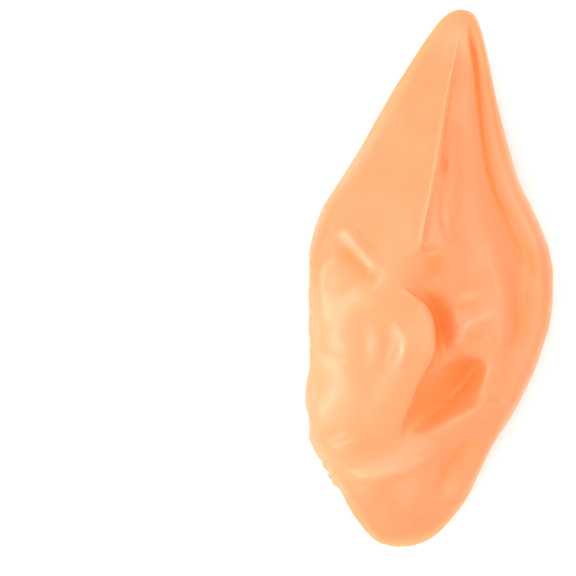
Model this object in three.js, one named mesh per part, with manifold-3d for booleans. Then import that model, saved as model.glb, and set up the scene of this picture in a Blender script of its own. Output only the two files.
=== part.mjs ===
// A slip-on pointed ear for a costume: one thin moulded latex skin, hollow, open at the back.
// It lies face up. +Z is up, +Y runs to the pointed tip, +X to the outer rim, and z = 0 is the table.
// Millimetres. The origin is on the table, under the middle of the ear's length and width.

import * as THREE from "three";
import { mergeVertices } from "three/addons/utils/BufferGeometryUtils.js";
import Module from "manifold-3d";

// Driving sizes
const EAR_LENGTH = 120; // tip to lobe
const EAR_WIDTH = 55; // cut front edge to outer rim
const EAR_DEPTH = 26.5; // the depth that heights are shares of, just over the flap's free edge
const WALL = 1.5; // least thickness of the skin
const HOLLOW_RADIUS = 2.1; // least radius of the bends inside, which keeps sharp creases out of the hollow

// How finely the skin is divided. The outer numbers are steps between two neighbouring lines.
const OUTER_STATIONS = 66;
const TOP_STEPS = [4, 5, 7, 2, 3, 4, 5, 5, 3, 4];
const UNDER_STEPS = [3, 3, 1, 4, 4, 2];
const INNER_STATIONS = 50;
const INNER_TOP_STEPS = 28;
const INNER_UNDER_STEPS = 4; // on each side of the mouth's outer wall
const SAMPLING = 3; // how much finer the outer form is sampled when the hollow is worked out
const GRID_CLEARANCE = 0.3; // share of a step by which the hollow keeps its flat faces out of the wall

// The tables below hold shares. "along" is a share of the length, from the middle towards the tip,
// "across" of the width, from the middle towards the outer rim, and "high" of the depth, from the table.
const TIP = { across: 0.13, high: 0.377 };
const LOBE = { across: -0.119, high: 0.208 };

// The outline: the front edge, which is cut uneven beside the cheek, and the outer rim
// along, front across, front high, rear across, rear high
const OUTLINE = [
  [0.489, 0.067, 0.375, 0.184, 0.375],
  [0.459, 0.01, 0.37, 0.213, 0.37],
  [0.404, -0.071, 0.36, 0.241, 0.36],
  [0.348, -0.148, 0.35, 0.265, 0.36],
  [0.293, -0.217, 0.33, 0.293, 0.36],
  [0.238, -0.285, 0.31, 0.326, 0.37],
  [0.182, -0.362, 0.27, 0.362, 0.4],
  [0.127, -0.435, 0.19, 0.419, 0.43],
  [0.09, -0.46, 0.1, 0.455, 0.45],
  [0.053, -0.472, 0.02, 0.484, 0.475],
  [0.006, -0.476, 0.02, 0.5, 0.49],
  [-0.04, -0.482, 0.02, 0.498, 0.49],
  [-0.086, -0.49, 0.02, 0.486, 0.475],
  [-0.123, -0.48, 0.02, 0.462, 0.455],
  [-0.169, -0.488, 0.02, 0.427, 0.425],
  [-0.225, -0.5, 0.02, 0.37, 0.377],
  [-0.262, -0.488, 0.02, 0.326, 0.34],
  [-0.299, -0.48, 0.02, 0.273, 0.3],
  [-0.326, -0.46, 0.02, 0.241, 0.28],
  [-0.354, -0.429, 0.02, 0.213, 0.26],
  [-0.382, -0.395, 0.03, 0.184, 0.24],
  [-0.393, -0.362, 0.09, 0.174, 0.235],
  [-0.419, -0.334, 0.14, 0.14, 0.225],
  [-0.446, -0.298, 0.17, 0.095, 0.215],
  [-0.474, -0.249, 0.19, 0.038, 0.21],
  [-0.489, -0.213, 0.2, -0.01, 0.21],
];

// The foot of the cheek, where the skin turns from the front edge to the broad front
// along, across, high
const CHEEK = [
  [0.459, 0.04, 0.48],
  [0.376, -0.065, 0.55],
  [0.238, -0.235, 0.62],
  [0.127, -0.39, 0.7],
  [0.08, -0.418, 0.72],
  [0.034, -0.437, 0.69],
  [-0.04, -0.442, 0.59],
  [-0.123, -0.438, 0.53],
  [-0.225, -0.455, 0.48],
  [-0.299, -0.435, 0.43],
  [-0.354, -0.378, 0.385],
  [-0.409, -0.302, 0.38],
  [-0.465, -0.227, 0.37],
];

// The broad back of the flap above, and of the tragus below it
// along, across, high
const SHOULDER = [
  [0.459, 0.095, 0.525],
  [0.376, 0.026, 0.623],
  [0.311, -0.038, 0.698],
  [0.238, -0.079, 0.774],
  [0.127, -0.176, 0.86],
  [0.053, -0.225, 0.85],
  [0.006, -0.241, 0.826],
  [-0.04, -0.233, 0.795],
  [-0.123, -0.209, 0.745],
  [-0.225, -0.249, 0.67],
  [-0.299, -0.273, 0.585],
  [-0.354, -0.249, 0.51],
  [-0.409, -0.192, 0.483],
  [-0.465, -0.168, 0.423],
];

// The free edge of the flap, which turns at its foot into the free edge of the tragus, and the step
// down from that edge: how far out the foot of the step lies, and how far it drops
// along, across, high, step out, step down
const FREE_EDGE = [
  [0.459, 0.132, 0.53, 0.004, 0],
  [0.432, 0.115, 0.556, 0.005, 0.003],
  [0.404, 0.099, 0.59, 0.007, 0.006],
  [0.311, 0.059, 0.705, 0.008, 0.012],
  [0.238, 0.034, 0.805, 0.01, 0.018],
  [0.173, 0.008, 0.89, 0.01, 0.024],
  [0.117, -0.019, 0.94, 0.011, 0.028],
  [0.06, -0.042, 0.945, 0.012, 0.028],
  [0.034, -0.064, 0.928, 0.016, 0.02],
  [0.008, -0.09, 0.902, 0.016, 0.014],
  [-0.012, -0.108, 0.878, 0.012, 0.012],
  [-0.024, -0.09, 0.862, 0.008, 0.02],
  [-0.034, -0.055, 0.848, 0.006, 0.044],
  [-0.053, -0.01, 0.832, 0.005, 0.075],
  [-0.077, 0.011, 0.824, 0.004, 0.085],
  [-0.095, 0.018, 0.82, 0.004, 0.085],
  [-0.123, 0.019, 0.816, 0.005, 0.072],
  [-0.141, 0.012, 0.806, 0.006, 0.062],
  [-0.171, -0.018, 0.78, 0.008, 0.048],
  [-0.199, -0.053, 0.742, 0.008, 0.042],
  [-0.238, -0.084, 0.684, 0.008, 0.036],
  [-0.271, -0.114, 0.622, 0.008, 0.025],
  [-0.302, -0.126, 0.562, 0.012, 0.01],
  [-0.354, -0.128, 0.513, 0.014, 0.004],
  [-0.409, -0.119, 0.498, 0.016, 0.002],
  [-0.465, -0.119, 0.438, 0.008, 0.002],
];

// The line behind that step: a shallow valley above, the crevice behind the tragus, the bowl's slope below
// along, across, high
const FLOOR = [
  [0.459, 0.142, 0.527],
  [0.404, 0.119, 0.568],
  [0.311, 0.076, 0.664],
  [0.238, 0.056, 0.756],
  [0.173, 0.048, 0.84],
  [0.117, 0.046, 0.89],
  [0.07, 0.054, 0.895],
  [0.05, 0.04, 0.888],
  [0.03, 0.02, 0.865],
  [0.008, -0.006, 0.838],
  [-0.01, -0.044, 0.82],
  [-0.022, -0.05, 0.8],
  [-0.034, -0.02, 0.74],
  [-0.048, 0.006, 0.66],
  [-0.066, 0.026, 0.605],
  [-0.09, 0.037, 0.59],
  [-0.12, 0.042, 0.635],
  [-0.142, 0.048, 0.655],
  [-0.158, 0.056, 0.635],
  [-0.171, 0.056, 0.6],
  [-0.199, 0.018, 0.555],
  [-0.225, -0.02, 0.54],
  [-0.243, -0.045, 0.545],
  [-0.271, -0.084, 0.55],
  [-0.291, -0.102, 0.55],
  [-0.311, -0.1, 0.54],
  [-0.354, -0.09, 0.503],
  [-0.409, -0.08, 0.488],
  [-0.465, -0.099, 0.432],
];

// The far side of that fold and of the bowl: a shelf beside the crevice, and the bowl's deepest line below
// along, across, high
const SHELF = [
  [0.459, 0.147, 0.526],
  [0.404, 0.138, 0.566],
  [0.311, 0.116, 0.658],
  [0.238, 0.104, 0.738],
  [0.173, 0.106, 0.8],
  [0.117, 0.115, 0.836],
  [0.06, 0.125, 0.835],
  [0.02, 0.125, 0.81],
  [-0.014, 0.12, 0.78],
  [-0.04, 0.11, 0.745],
  [-0.066, 0.1, 0.71],
  [-0.105, 0.105, 0.69],
  [-0.136, 0.125, 0.67],
  [-0.15, 0.148, 0.61],
  [-0.16, 0.158, 0.52],
  [-0.171, 0.158, 0.455],
  [-0.185, 0.148, 0.435],
  [-0.199, 0.13, 0.43],
  [-0.225, 0.07, 0.435],
  [-0.243, 0.022, 0.455],
  [-0.271, -0.046, 0.5],
  [-0.291, -0.072, 0.535],
  [-0.311, -0.064, 0.54],
  [-0.354, -0.04, 0.497],
  [-0.409, -0.045, 0.475],
  [-0.465, -0.085, 0.422],
];

// The inner ridge that bounds the bowl and runs up to the tip as a flat leaf
// along, across, high
const INNER_RIDGE = [
  [0.459, 0.15, 0.528],
  [0.432, 0.154, 0.545],
  [0.404, 0.158, 0.57],
  [0.311, 0.174, 0.645],
  [0.219, 0.192, 0.722],
  [0.145, 0.217, 0.768],
  [0.09, 0.242, 0.778],
  [-0.003, 0.281, 0.775],
  [-0.058, 0.292, 0.762],
  [-0.114, 0.28, 0.738],
  [-0.151, 0.258, 0.708],
  [-0.188, 0.236, 0.672],
  [-0.252, 0.196, 0.612],
  [-0.299, 0.132, 0.556],
  [-0.354, 0.067, 0.48],
  [-0.409, 0.01, 0.45],
  [-0.465, -0.063, 0.408],
];

// The groove between the inner ridge and the outer rim, deep and narrow towards the tip
// along, across, high
const GROOVE = [
  [0.459, 0.162, 0.505],
  [0.432, 0.172, 0.492],
  [0.404, 0.183, 0.5],
  [0.311, 0.206, 0.556],
  [0.247, 0.223, 0.602],
  [0.173, 0.258, 0.644],
  [0.117, 0.308, 0.66],
  [0.071, 0.356, 0.66],
  [0.025, 0.392, 0.662],
  [-0.04, 0.385, 0.668],
  [-0.1, 0.368, 0.656],
  [-0.16, 0.33, 0.632],
  [-0.225, 0.28, 0.59],
  [-0.28, 0.221, 0.535],
  [-0.354, 0.14, 0.453],
  [-0.409, 0.075, 0.423],
  [-0.465, -0.022, 0.385],
];

// The top of the rounded outer rim
// along, across, high
const RIM = [
  [0.459, 0.188, 0.5],
  [0.404, 0.213, 0.526],
  [0.311, 0.247, 0.58],
  [0.219, 0.288, 0.634],
  [0.173, 0.326, 0.66],
  [0.117, 0.382, 0.678],
  [0.071, 0.426, 0.68],
  [0.025, 0.448, 0.68],
  [-0.021, 0.455, 0.68],
  [-0.077, 0.443, 0.674],
  [-0.132, 0.41, 0.656],
  [-0.188, 0.362, 0.626],
  [-0.225, 0.326, 0.595],
  [-0.28, 0.265, 0.524],
  [-0.354, 0.176, 0.43],
  [-0.409, 0.111, 0.39],
  [-0.465, 0.018, 0.347],
];

// The underside. The back wall turns in under the rim, the heel is the mouth's outer edge, and the keel
// is the lowest line between heel and toe.
// along, across, high
const BACK_WALL = [
  [0.404, 0.205, 0.24],
  [0.311, 0.229, 0.204],
  [0.219, 0.261, 0.185],
  [0.117, 0.334, 0.196],
  [0.025, 0.391, 0.226],
  [-0.04, 0.391, 0.226],
  [-0.132, 0.342, 0.21],
  [-0.225, 0.281, 0.18],
  [-0.299, 0.209, 0.136],
  [-0.373, 0.136, 0.09],
  [-0.446, 0.043, 0.098],
];
const HEEL = [
  [0.404, 0.156, 0.18],
  [0.311, 0.16, 0.128],
  [0.219, 0.168, 0.09],
  [0.145, 0.188, 0.06],
  [0.062, 0.229, 0.03],
  [-0.04, 0.245, 0.03],
  [-0.132, 0.205, 0.03],
  [-0.225, 0.14, 0.03],
  [-0.299, 0.067, 0.03],
  [-0.354, 0.006, 0.03],
  [-0.391, -0.03, 0.034],
  [-0.446, -0.059, 0.068],
];
const KEEL = [
  [0.404, 0.083, 0.18],
  [0.311, 0.034, 0.12],
  [0.219, -0.018, 0.076],
  [0.145, -0.059, 0.045],
  [0.071, -0.119, 0.02],
  [-0.04, -0.119, 0.02],
  [-0.225, -0.18, 0.02],
  [-0.38, -0.2, 0.02],
  [-0.419, -0.184, 0.05],
  [-0.446, -0.168, 0.076],
];

// The toe is where the underside meets the front: how far in from the front edge it lies
// along, in from the front edge, high
const TOE = [
  [0.404, 0.032, 0.226],
  [0.311, 0.053, 0.18],
  [0.219, 0.053, 0.128],
  [0.145, 0.065, 0.075],
  [0.099, 0.06, 0.04],
  [0.075, 0.03, 0.015],
  [0.055, 0.005, 0.02],
  [-0.37, 0.005, 0.02],
  [-0.384, 0.036, 0.012],
  [-0.398, 0.04, 0.038],
  [-0.428, 0.057, 0.068],
  [-0.465, 0.06, 0.098],
];

// The mouth, where the wearer's own ear goes in. Between its ends the underside runs on below the table,
// by a depth that clears the wall, and is cut off level there.
const MOUTH_SINK = 2.5 * WALL;
const MOUTH_RAMP = 0.026; // share of the length over which the underside dips
const HEEL_LIP = 0.006; // share of the width between the heel and the mouth's own wall
const HEEL_LIP_HIGH = 0.9; // how high the top of that wall stands, as a share of the heel's height
const MOUTH_ENDS = {
  heel: { top: 0.05, bottom: -0.37 },
  keel: { top: 0.084, bottom: -0.394 },
  toe: { top: 0.07, bottom: -0.383 },
};

// How sharply the skin bends at a line: 0 is round, 1 is a corner. These lines bend alike all along.
const STEADY_CRISPNESS = {
  cheek: 0.15,
  shoulder: 0.2,
  innerRidge: 0.1,
  rim: 0.05,
  backWall: 0.1,
  heel: 0.5,
  mouth: 0.7,
  keel: 0.3,
  toe: 0.6,
};

// These bend most in the middle and fade into a smooth round end at the tip and the lobe.
// along, free edge, foot of the step, floor, shelf, groove
const CRISPNESS = [
  [0.47, 0, 0, 0, 0, 0],
  [0.445, 0.1, 0.1, 0.05, 0, 0.5],
  [0.39, 0.5, 0.35, 0.1, 0, 0.75],
  [0.311, 0.72, 0.4, 0.1, 0, 0.85],
  [0.15, 0.75, 0.4, 0.1, 0, 0.85],
  [0.07, 0.7, 0.4, 0.05, 0, 0.55],
  [0.044, 0.25, 0.15, 0, 0, 0.35],
  [0, 0.15, 0.05, 0, 0, 0],
  [-0.028, 0.3, 0.05, 0.25, 0, 0],
  [-0.06, 0.5, 0.05, 0.7, 0, 0],
  [-0.095, 0.45, 0, 0.5, 0, 0],
  [-0.12, 0.42, 0, 0.15, 0, 0],
  [-0.14, 0.4, 0, 0, 0.1, 0],
  [-0.171, 0.35, 0.05, 0, 0.25, 0],
  [-0.243, 0.3, 0.05, 0, 0.25, 0],
  [-0.28, 0.15, 0, 0, 0.1, 0],
  [-0.3, 0, 0, 0, 0, 0],
  [-0.47, 0, 0, 0, 0, 0],
];
const CRISPNESS_COLUMNS = { freeEdge: 1, stepFoot: 2, floor: 3, shelf: 4, groove: 5 };

// Smaller folds, raised or sunk along a path over the skin. The side says which skin a fold lies on:
// "front" is the flap, cheek and tragus, "inside" is all beyond the free edge, and "both" is the whole.
// Each path is points (across, along), widths are shares of the width to the left and right of the path,
// and the height is a share of the depth, below 0 for a crease.
const FOLDS = [
  {
    name: "lip of the pinch under the flap",
    side: "front",
    path: [[-0.35, 0.099], [-0.282, 0.067], [-0.205, 0.02]],
    left: 0.026,
    right: 0.036,
    height: 0.018,
  },
  {
    name: "pocket under the pinch",
    side: "front",
    path: [[-0.388, 0.084], [-0.322, 0.046], [-0.2, -0.018]],
    left: 0.036,
    right: 0.045,
    height: -0.018,
  },
  {
    name: "ridge of the tragus",
    side: "front",
    path: [[-0.144, -0.07], [-0.108, -0.128], [-0.148, -0.174]],
    left: 0.034,
    right: 0.034,
    height: 0.019,
  },
  {
    name: "arc of the cheek",
    side: "front",
    path: [[-0.262, -0.07], [-0.222, -0.128], [-0.262, -0.176]],
    left: 0.032,
    right: 0.028,
    height: 0.011,
  },
  {
    name: "edge of the jaw",
    side: "both",
    path: [[0.07, -0.308], [-0.075, -0.34], [-0.25, -0.366], [-0.33, -0.372]],
    left: 0.03,
    right: 0.056,
    height: 0.03,
  },
  {
    name: "antitragus",
    side: "both",
    path: [[-0.11, -0.302], [0.123, -0.252], [0.34, -0.232]],
    left: 0.036,
    right: 0.04,
    height: 0.04,
  },
  {
    name: "dent of the lobe",
    side: "both",
    path: [[-0.01, -0.43], [0.095, -0.345], [0.225, -0.28]],
    left: 0.042,
    right: 0.06,
    height: -0.07,
  },
  {
    name: "upper fold in the bowl",
    side: "inside",
    path: [[0.112, -0.096], [0.17, -0.08], [0.262, -0.06]],
    left: 0.02,
    right: 0.026,
    height: 0.015,
  },
  {
    name: "lower fold in the bowl",
    side: "inside",
    path: [[0.052, -0.126], [0.11, -0.116], [0.16, -0.1]],
    left: 0.02,
    right: 0.024,
    height: 0.013,
  },
  {
    name: "crest of the inner ridge",
    side: "inside",
    path: [[0.2, 0.052], [0.279, -0.03], [0.256, -0.13], [0.21, -0.215]],
    left: 0.034,
    right: 0.03,
    height: 0.016,
  },
  {
    name: "recess at the foot of the flap",
    side: "inside",
    path: [[0.02, 0.034], [0.024, 0.014], [0.022, -0.008]],
    left: 0.034,
    right: 0.034,
    height: -0.03,
  },
];
const FOLD_REACH = 2.5; // how many widths a fold reaches to each side
const FOLD_TAPER = 0.22; // share of a path over which each end fades
const FOLD_POINTS = 40; // points taken along a path

// Broad lumps and dents, each a round swelling with its own radius across and along, as shares of the
// width and the length. The height is a share of the depth, below 0 for a dent.
const LUMPS = [
  { name: "pouch of the cheek", side: "front", at: [-0.37, -0.215], radii: [0.08, 0.04], height: 0.019 },
  { name: "dip of the cheek", side: "front", at: [-0.4, -0.07], radii: [0.06, 0.035], height: -0.015 },
  { name: "dip of the jaw", side: "front", at: [-0.4, -0.295], radii: [0.07, 0.024], height: -0.026 },
  { name: "pad of the jaw", side: "front", at: [-0.27, -0.3], radii: [0.05, 0.02], height: 0.019 },
  { name: "dent of the flap", side: "front", at: [-0.16, 0.09], radii: [0.07, 0.04], height: -0.011 },
  { name: "dip of the bowl", side: "inside", at: [0.15, -0.018], radii: [0.05, 0.02], height: -0.026 },
  { name: "pad of the lobe", side: "both", at: [-0.06, -0.45], radii: [0.09, 0.035], height: 0.015 },
];

// A smooth step from 0 to 1
function smooth(value) {
  const s = THREE.MathUtils.clamp(value, 0, 1);
  return s * s * (3 - 2 * s);
}

// Round ends need a position that moves slowly near the tip and the lobe: 0 at the lobe, pi at the tip.
function turn(along) {
  return Math.acos(THREE.MathUtils.clamp(-2 * along, -1, 1));
}

// A smooth curve through a table's rows that never overshoots them. Rows are [position, value].
function tableCurve(rows) {
  const position = rows.map((row) => row[0]);
  const value = rows.map((row) => row[1]);
  const step = position.slice(1).map((p, i) => p - position[i]);
  const slope = step.map((h, i) => (value[i + 1] - value[i]) / h);
  const tangent = value.map((v, i) => {
    if (i === 0) return slope[0];
    if (i === value.length - 1) return slope[i - 1];
    if (slope[i - 1] * slope[i] <= 0) return 0;
    const before = 2 * step[i] + step[i - 1];
    const after = step[i] + 2 * step[i - 1];
    return (before + after) / (before / slope[i - 1] + after / slope[i]);
  });
  return (at) => {
    let i = 0;
    while (i < step.length - 1 && at > position[i + 1]) i += 1;
    const share = (at - position[i]) / step[i];
    return hermite(value[i], tangent[i] * step[i], value[i + 1], tangent[i + 1] * step[i], share);
  };
}

// The cubic from a to b that leaves with one tangent and arrives with the other
function hermite(a, leaving, b, arriving, s) {
  const rest = 1 - s;
  const ends = (1 + 2 * s) * rest * rest * a + s * s * (3 - 2 * s) * b;
  return ends + s * rest * rest * leaving - s * s * rest * arriving;
}

// One column of a table as a curve over the ear's length, with its values at the tip and the lobe added
function columnCurve(table, column, atTip, atLobe) {
  const rows = table.map((row) => [turn(row[0]), row[column]]);
  rows.push([turn(0.5), atTip], [turn(-0.5), atLobe]);
  rows.sort((a, b) => a[0] - b[0]);
  return tableCurve(rows);
}

// A line along the skin: a function that gives its point (x, z) in a section
function skinLine(table, acrossColumn = 1, highColumn = 2) {
  const across = columnCurve(table, acrossColumn, TIP.across, LOBE.across);
  const high = columnCurve(table, highColumn, TIP.high, LOBE.high);
  return (along) => new THREE.Vector2(across(turn(along)) * EAR_WIDTH, high(turn(along)) * EAR_DEPTH);
}

const frontLine = skinLine(OUTLINE, 1, 2);
const rearLine = skinLine(OUTLINE, 3, 4);
const freeEdgeLine = skinLine(FREE_EDGE);
const stepOut = columnCurve(FREE_EDGE, 3, 0, 0);
const stepDown = columnCurve(FREE_EDGE, 4, 0, 0);
const heelLine = skinLine(HEEL);
const keelLine = skinLine(KEEL);
const toeInset = columnCurve(TOE, 1, 0, 0);
const toeHigh = columnCurve(TOE, 2, TIP.high, LOBE.high);

// The foot of the step below the free edge
function stepFootLine(along) {
  const edge = freeEdgeLine(along);
  return new THREE.Vector2(
    edge.x + stepOut(turn(along)) * EAR_WIDTH,
    edge.y - stepDown(turn(along)) * EAR_DEPTH,
  );
}

// Lowers a point of the underside below the table between the mouth's ends
function sunk(point, along, ends) {
  const open = smooth((ends.top - along) / MOUTH_RAMP) * smooth((along - ends.bottom) / MOUTH_RAMP);
  return new THREE.Vector2(point.x, THREE.MathUtils.lerp(point.y, -MOUTH_SINK, open));
}

// The mouth's own wall, just inside the heel
function mouthLine(along) {
  const heel = heelLine(along);
  const inner = new THREE.Vector2(heel.x - HEEL_LIP * EAR_WIDTH, heel.y * HEEL_LIP_HIGH);
  return sunk(inner, along, MOUTH_ENDS.heel);
}

// The toe, just inside the front edge
function toeLine(along) {
  const x = frontLine(along).x + toeInset(turn(along)) * EAR_WIDTH;
  return sunk(new THREE.Vector2(x, toeHigh(turn(along)) * EAR_DEPTH), along, MOUTH_ENDS.toe);
}

// The lines in order, from the front edge over the face to the rear edge, and back below
const TOP_LINES = [
  ["front", frontLine],
  ["cheek", skinLine(CHEEK)],
  ["shoulder", skinLine(SHOULDER)],
  ["freeEdge", freeEdgeLine],
  ["stepFoot", stepFootLine],
  ["floor", skinLine(FLOOR)],
  ["shelf", skinLine(SHELF)],
  ["innerRidge", skinLine(INNER_RIDGE)],
  ["groove", skinLine(GROOVE)],
  ["rim", skinLine(RIM)],
  ["rear", rearLine],
];
const UNDER_LINES = [
  ["rear", rearLine],
  ["backWall", skinLine(BACK_WALL)],
  ["heel", heelLine],
  ["mouth", mouthLine],
  ["keel", (along) => sunk(keelLine(along), along, MOUTH_ENDS.keel)],
  ["toe", toeLine],
  ["front", frontLine],
];
const FRONT_LINE_COUNT = 3; // spans from the front edge to the free edge

// How sharply each named line bends at a place along the ear
const crispness = {};
for (const [name, value] of Object.entries(STEADY_CRISPNESS)) crispness[name] = () => value;
for (const [name, column] of Object.entries(CRISPNESS_COLUMNS)) {
  const curve = columnCurve(CRISPNESS, column, 0, 0);
  crispness[name] = (along) => curve(turn(along));
}
crispness.front = () => 0;
crispness.rear = () => 0;

// A section's curve through the lines' points, round or sharp at each as the line asks. The end tangents
// are upright, so that the top and the underside meet in one round turn.
const SHORTEST_CHORD = 1e-6;
function sectionCurve(lines, along, steps, startUp) {
  const points = lines.map(([, line]) => line(along));
  const sharp = lines.map(([name]) => crispness[name](along));
  const chords = points.slice(1).map((p, i) => p.clone().sub(points[i]));
  const lengths = chords.map((c) => Math.max(c.length(), SHORTEST_CHORD));
  const directions = points.map((p, i) => {
    if (i === 0) return new THREE.Vector2(0, startUp);
    if (i === points.length - 1) return new THREE.Vector2(0, -startUp);
    const before = chords[i - 1].clone().multiplyScalar(lengths[i] / lengths[i - 1]);
    const after = chords[i].clone().multiplyScalar(lengths[i - 1] / lengths[i]);
    return before.add(after).normalize();
  });
  const curve = [];
  chords.forEach((chord, i) => {
    const leaving = directions[i].clone().multiplyScalar(lengths[i] * (1 - sharp[i]));
    const arriving = directions[i + 1].clone().multiplyScalar(lengths[i] * (1 - sharp[i + 1]));
    for (let k = 0; k < steps[i]; k += 1) {
      const s = k / steps[i];
      curve.push(new THREE.Vector2(
        hermite(points[i].x, leaving.x, points[i + 1].x, arriving.x, s),
        hermite(points[i].y, leaving.y, points[i + 1].y, arriving.y, s),
      ));
    }
  });
  curve.push(points[points.length - 1].clone());
  return curve;
}

// A fold as a function of the place on the skin, giving how far it lifts the skin there
function foldHeight(fold) {
  const corner = ([across, along]) => new THREE.Vector2(across * EAR_WIDTH, along * EAR_LENGTH);
  const path = new THREE.SplineCurve(fold.path.map(corner)).getPoints(FOLD_POINTS);
  const reach = FOLD_REACH * Math.max(fold.left, fold.right) * EAR_WIDTH;
  const bounds = new THREE.Box2().setFromPoints(path).expandByScalar(reach);
  return (x, y) => {
    const place = new THREE.Vector2(x, y);
    if (!bounds.containsPoint(place)) return 0;
    let nearest = Infinity;
    let width = fold.left;
    let done = 0;
    for (let i = 0; i < FOLD_POINTS; i += 1) {
      const step = path[i + 1].clone().sub(path[i]);
      const from = place.clone().sub(path[i]);
      const share = THREE.MathUtils.clamp(from.dot(step) / step.lengthSq(), 0, 1);
      const away = from.clone().addScaledVector(step, -share).length();
      if (away < nearest) {
        nearest = away;
        width = step.cross(from) > 0 ? fold.left : fold.right;
        done = (i + share) / FOLD_POINTS;
      }
    }
    const fade = smooth(Math.min(done, 1 - done) / FOLD_TAPER);
    return fold.height * EAR_DEPTH * fade * Math.exp(-((nearest / (width * EAR_WIDTH)) ** 2));
  };
}

// A lump in the same way
function lumpHeight({ at, radii, height }) {
  return (x, y) => {
    const dx = (x / EAR_WIDTH - at[0]) / radii[0];
    const dy = (y / EAR_LENGTH - at[1]) / radii[1];
    return height * EAR_DEPTH * Math.exp(-(dx * dx + dy * dy));
  };
}
const reliefs = [
  ...FOLDS.map((fold) => ({ side: fold.side, height: foldHeight(fold) })),
  ...LUMPS.map((lump) => ({ side: lump.side, height: lumpHeight(lump) })),
];

// The top curve of a section with its folds and lumps. They fade out over the last points at the edges.
function topCurve(along, steps) {
  const curve = sectionCurve(TOP_LINES, along, steps, 1);
  const edgeIndex = steps.slice(0, FRONT_LINE_COUNT).reduce((sum, count) => sum + count, 0);
  const fadePoints = steps[0];
  return curve.map((point, i) => {
    const side = i <= edgeIndex ? "front" : "inside";
    const fade = Math.min(1, Math.min(i, curve.length - 1 - i) / fadePoints);
    const lift = reliefs
      .filter((relief) => relief.side === side || relief.side === "both")
      .reduce((sum, relief) => sum + relief.height(point.x, along * EAR_LENGTH), 0);
    return new THREE.Vector2(point.x, point.y + lift * fade);
  });
}

// Stations along the ear, closer together towards the tip and the lobe: halfway between even steps of
// length and even steps of turn
function stations(count) {
  const firstTurn = 0.06; // how near to the ends, in radians, the first and last stations lie
  return Array.from({ length: count }, (_, i) => {
    const share = i / (count - 1);
    const even = (share - 0.5) * Math.cos(firstTurn);
    const round = -0.5 * Math.cos(THREE.MathUtils.lerp(firstTurn, Math.PI - firstTurn, share));
    return (even + round) / 2;
  });
}

// Both curves of the outer skin at each station
function outerSections(stationCount, finer) {
  return stations(stationCount).map((along) => ({
    y: along * EAR_LENGTH,
    top: topCurve(along, TOP_STEPS.map((count) => count * finer)),
    under: sectionCurve(UNDER_LINES, along, UNDER_STEPS.map((count) => count * finer), -1),
  }));
}

// A closed skin from rings of equal length, each a list of Vector3, closed by a point at each end. Each
// four-cornered cell is split along its shorter diagonal, which runs along the folds.
function closedSkin(rings, firstPole, lastPole) {
  const count = rings[0].length;
  const corners = [firstPole, ...rings.flat(), lastPole];
  const last = corners.length - 1;
  const index = [];
  for (let k = 0; k < count; k += 1) {
    const next = (k + 1) % count;
    index.push(0, 1 + next, 1 + k);
    for (let r = 0; r < rings.length - 1; r += 1) {
      const a = 1 + r * count + k;
      const b = 1 + r * count + next;
      const c = b + count;
      const d = a + count;
      const alongFold = corners[a].distanceTo(corners[c]) < corners[b].distanceTo(corners[d]);
      index.push(...(alongFold ? [a, b, c, a, c, d] : [a, b, d, b, c, d]));
    }
    const base = 1 + (rings.length - 1) * count;
    index.push(base + k, base + next, last);
  }
  const geometry = new THREE.BufferGeometry().setFromPoints(corners);
  geometry.setIndex(index);
  return geometry;
}

// The outer form: the ear as if it were solid
function outerForm() {
  const rings = outerSections(OUTER_STATIONS, 1).map(({ y, top, under }) =>
    [...top, ...under.slice(1, -1)].map((point) => new THREE.Vector3(point.x, y, point.y)));
  const lobe = new THREE.Vector3(LOBE.across * EAR_WIDTH, -EAR_LENGTH / 2, LOBE.high * EAR_DEPTH);
  const tip = new THREE.Vector3(TIP.across * EAR_WIDTH, EAR_LENGTH / 2, TIP.high * EAR_DEPTH);
  return closedSkin(rings, lobe, tip);
}

// The highest and lowest that the hollow may reach at a place. A ball is laid on every point of the skin,
// reaching a wall deep into it, and the hollow stays clear of them all. Each ball is widened by a share
// of the step of the hollow's own grid, so that its flat faces stay clear between their corners too.
const BALL_RADIUS = Math.max(HOLLOW_RADIUS, WALL);
const BALL_WIDENED = GRID_CLEARANCE * EAR_LENGTH / INNER_STATIONS;
function hollowLimits(samples, x, y) {
  const raised = BALL_RADIUS - WALL;
  const room = (point, dy) => {
    const away = Math.max(0, Math.hypot(point.x - x, dy) - BALL_WIDENED);
    return BALL_RADIUS * BALL_RADIUS - away * away;
  };
  let roof = Infinity;
  let ground = -Infinity;
  for (const section of samples) {
    const dy = section.y - y;
    if (Math.abs(dy) >= BALL_RADIUS + BALL_WIDENED) continue;
    for (const point of section.top) {
      const left = room(point, dy);
      if (left > 0) roof = Math.min(roof, point.y + raised - Math.sqrt(left));
    }
    for (const point of section.under) {
      const left = room(point, dy);
      if (left > 0) ground = Math.max(ground, point.y - raised + Math.sqrt(left));
    }
  }
  return { roof, ground, height: Number.isFinite(roof) && Number.isFinite(ground) ? roof - ground : 0 };
}

// Where the hollow begins and ends in a section: the widest stretch that is at least half a wall high
const SPAN_SEARCH_STEPS = 240;
function hollowSpan(samples, y) {
  const step = EAR_WIDTH / SPAN_SEARCH_STEPS;
  let widest = [0, 0];
  let start = null;
  for (let x = -EAR_WIDTH / 2; x <= EAR_WIDTH / 2; x += step) {
    const open = hollowLimits(samples, x, y).height > WALL / 2;
    if (open && start === null) start = x;
    if (!open) start = null;
    if (start !== null && x - start > widest[1] - widest[0]) widest = [start, x];
  }
  return widest;
}

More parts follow.
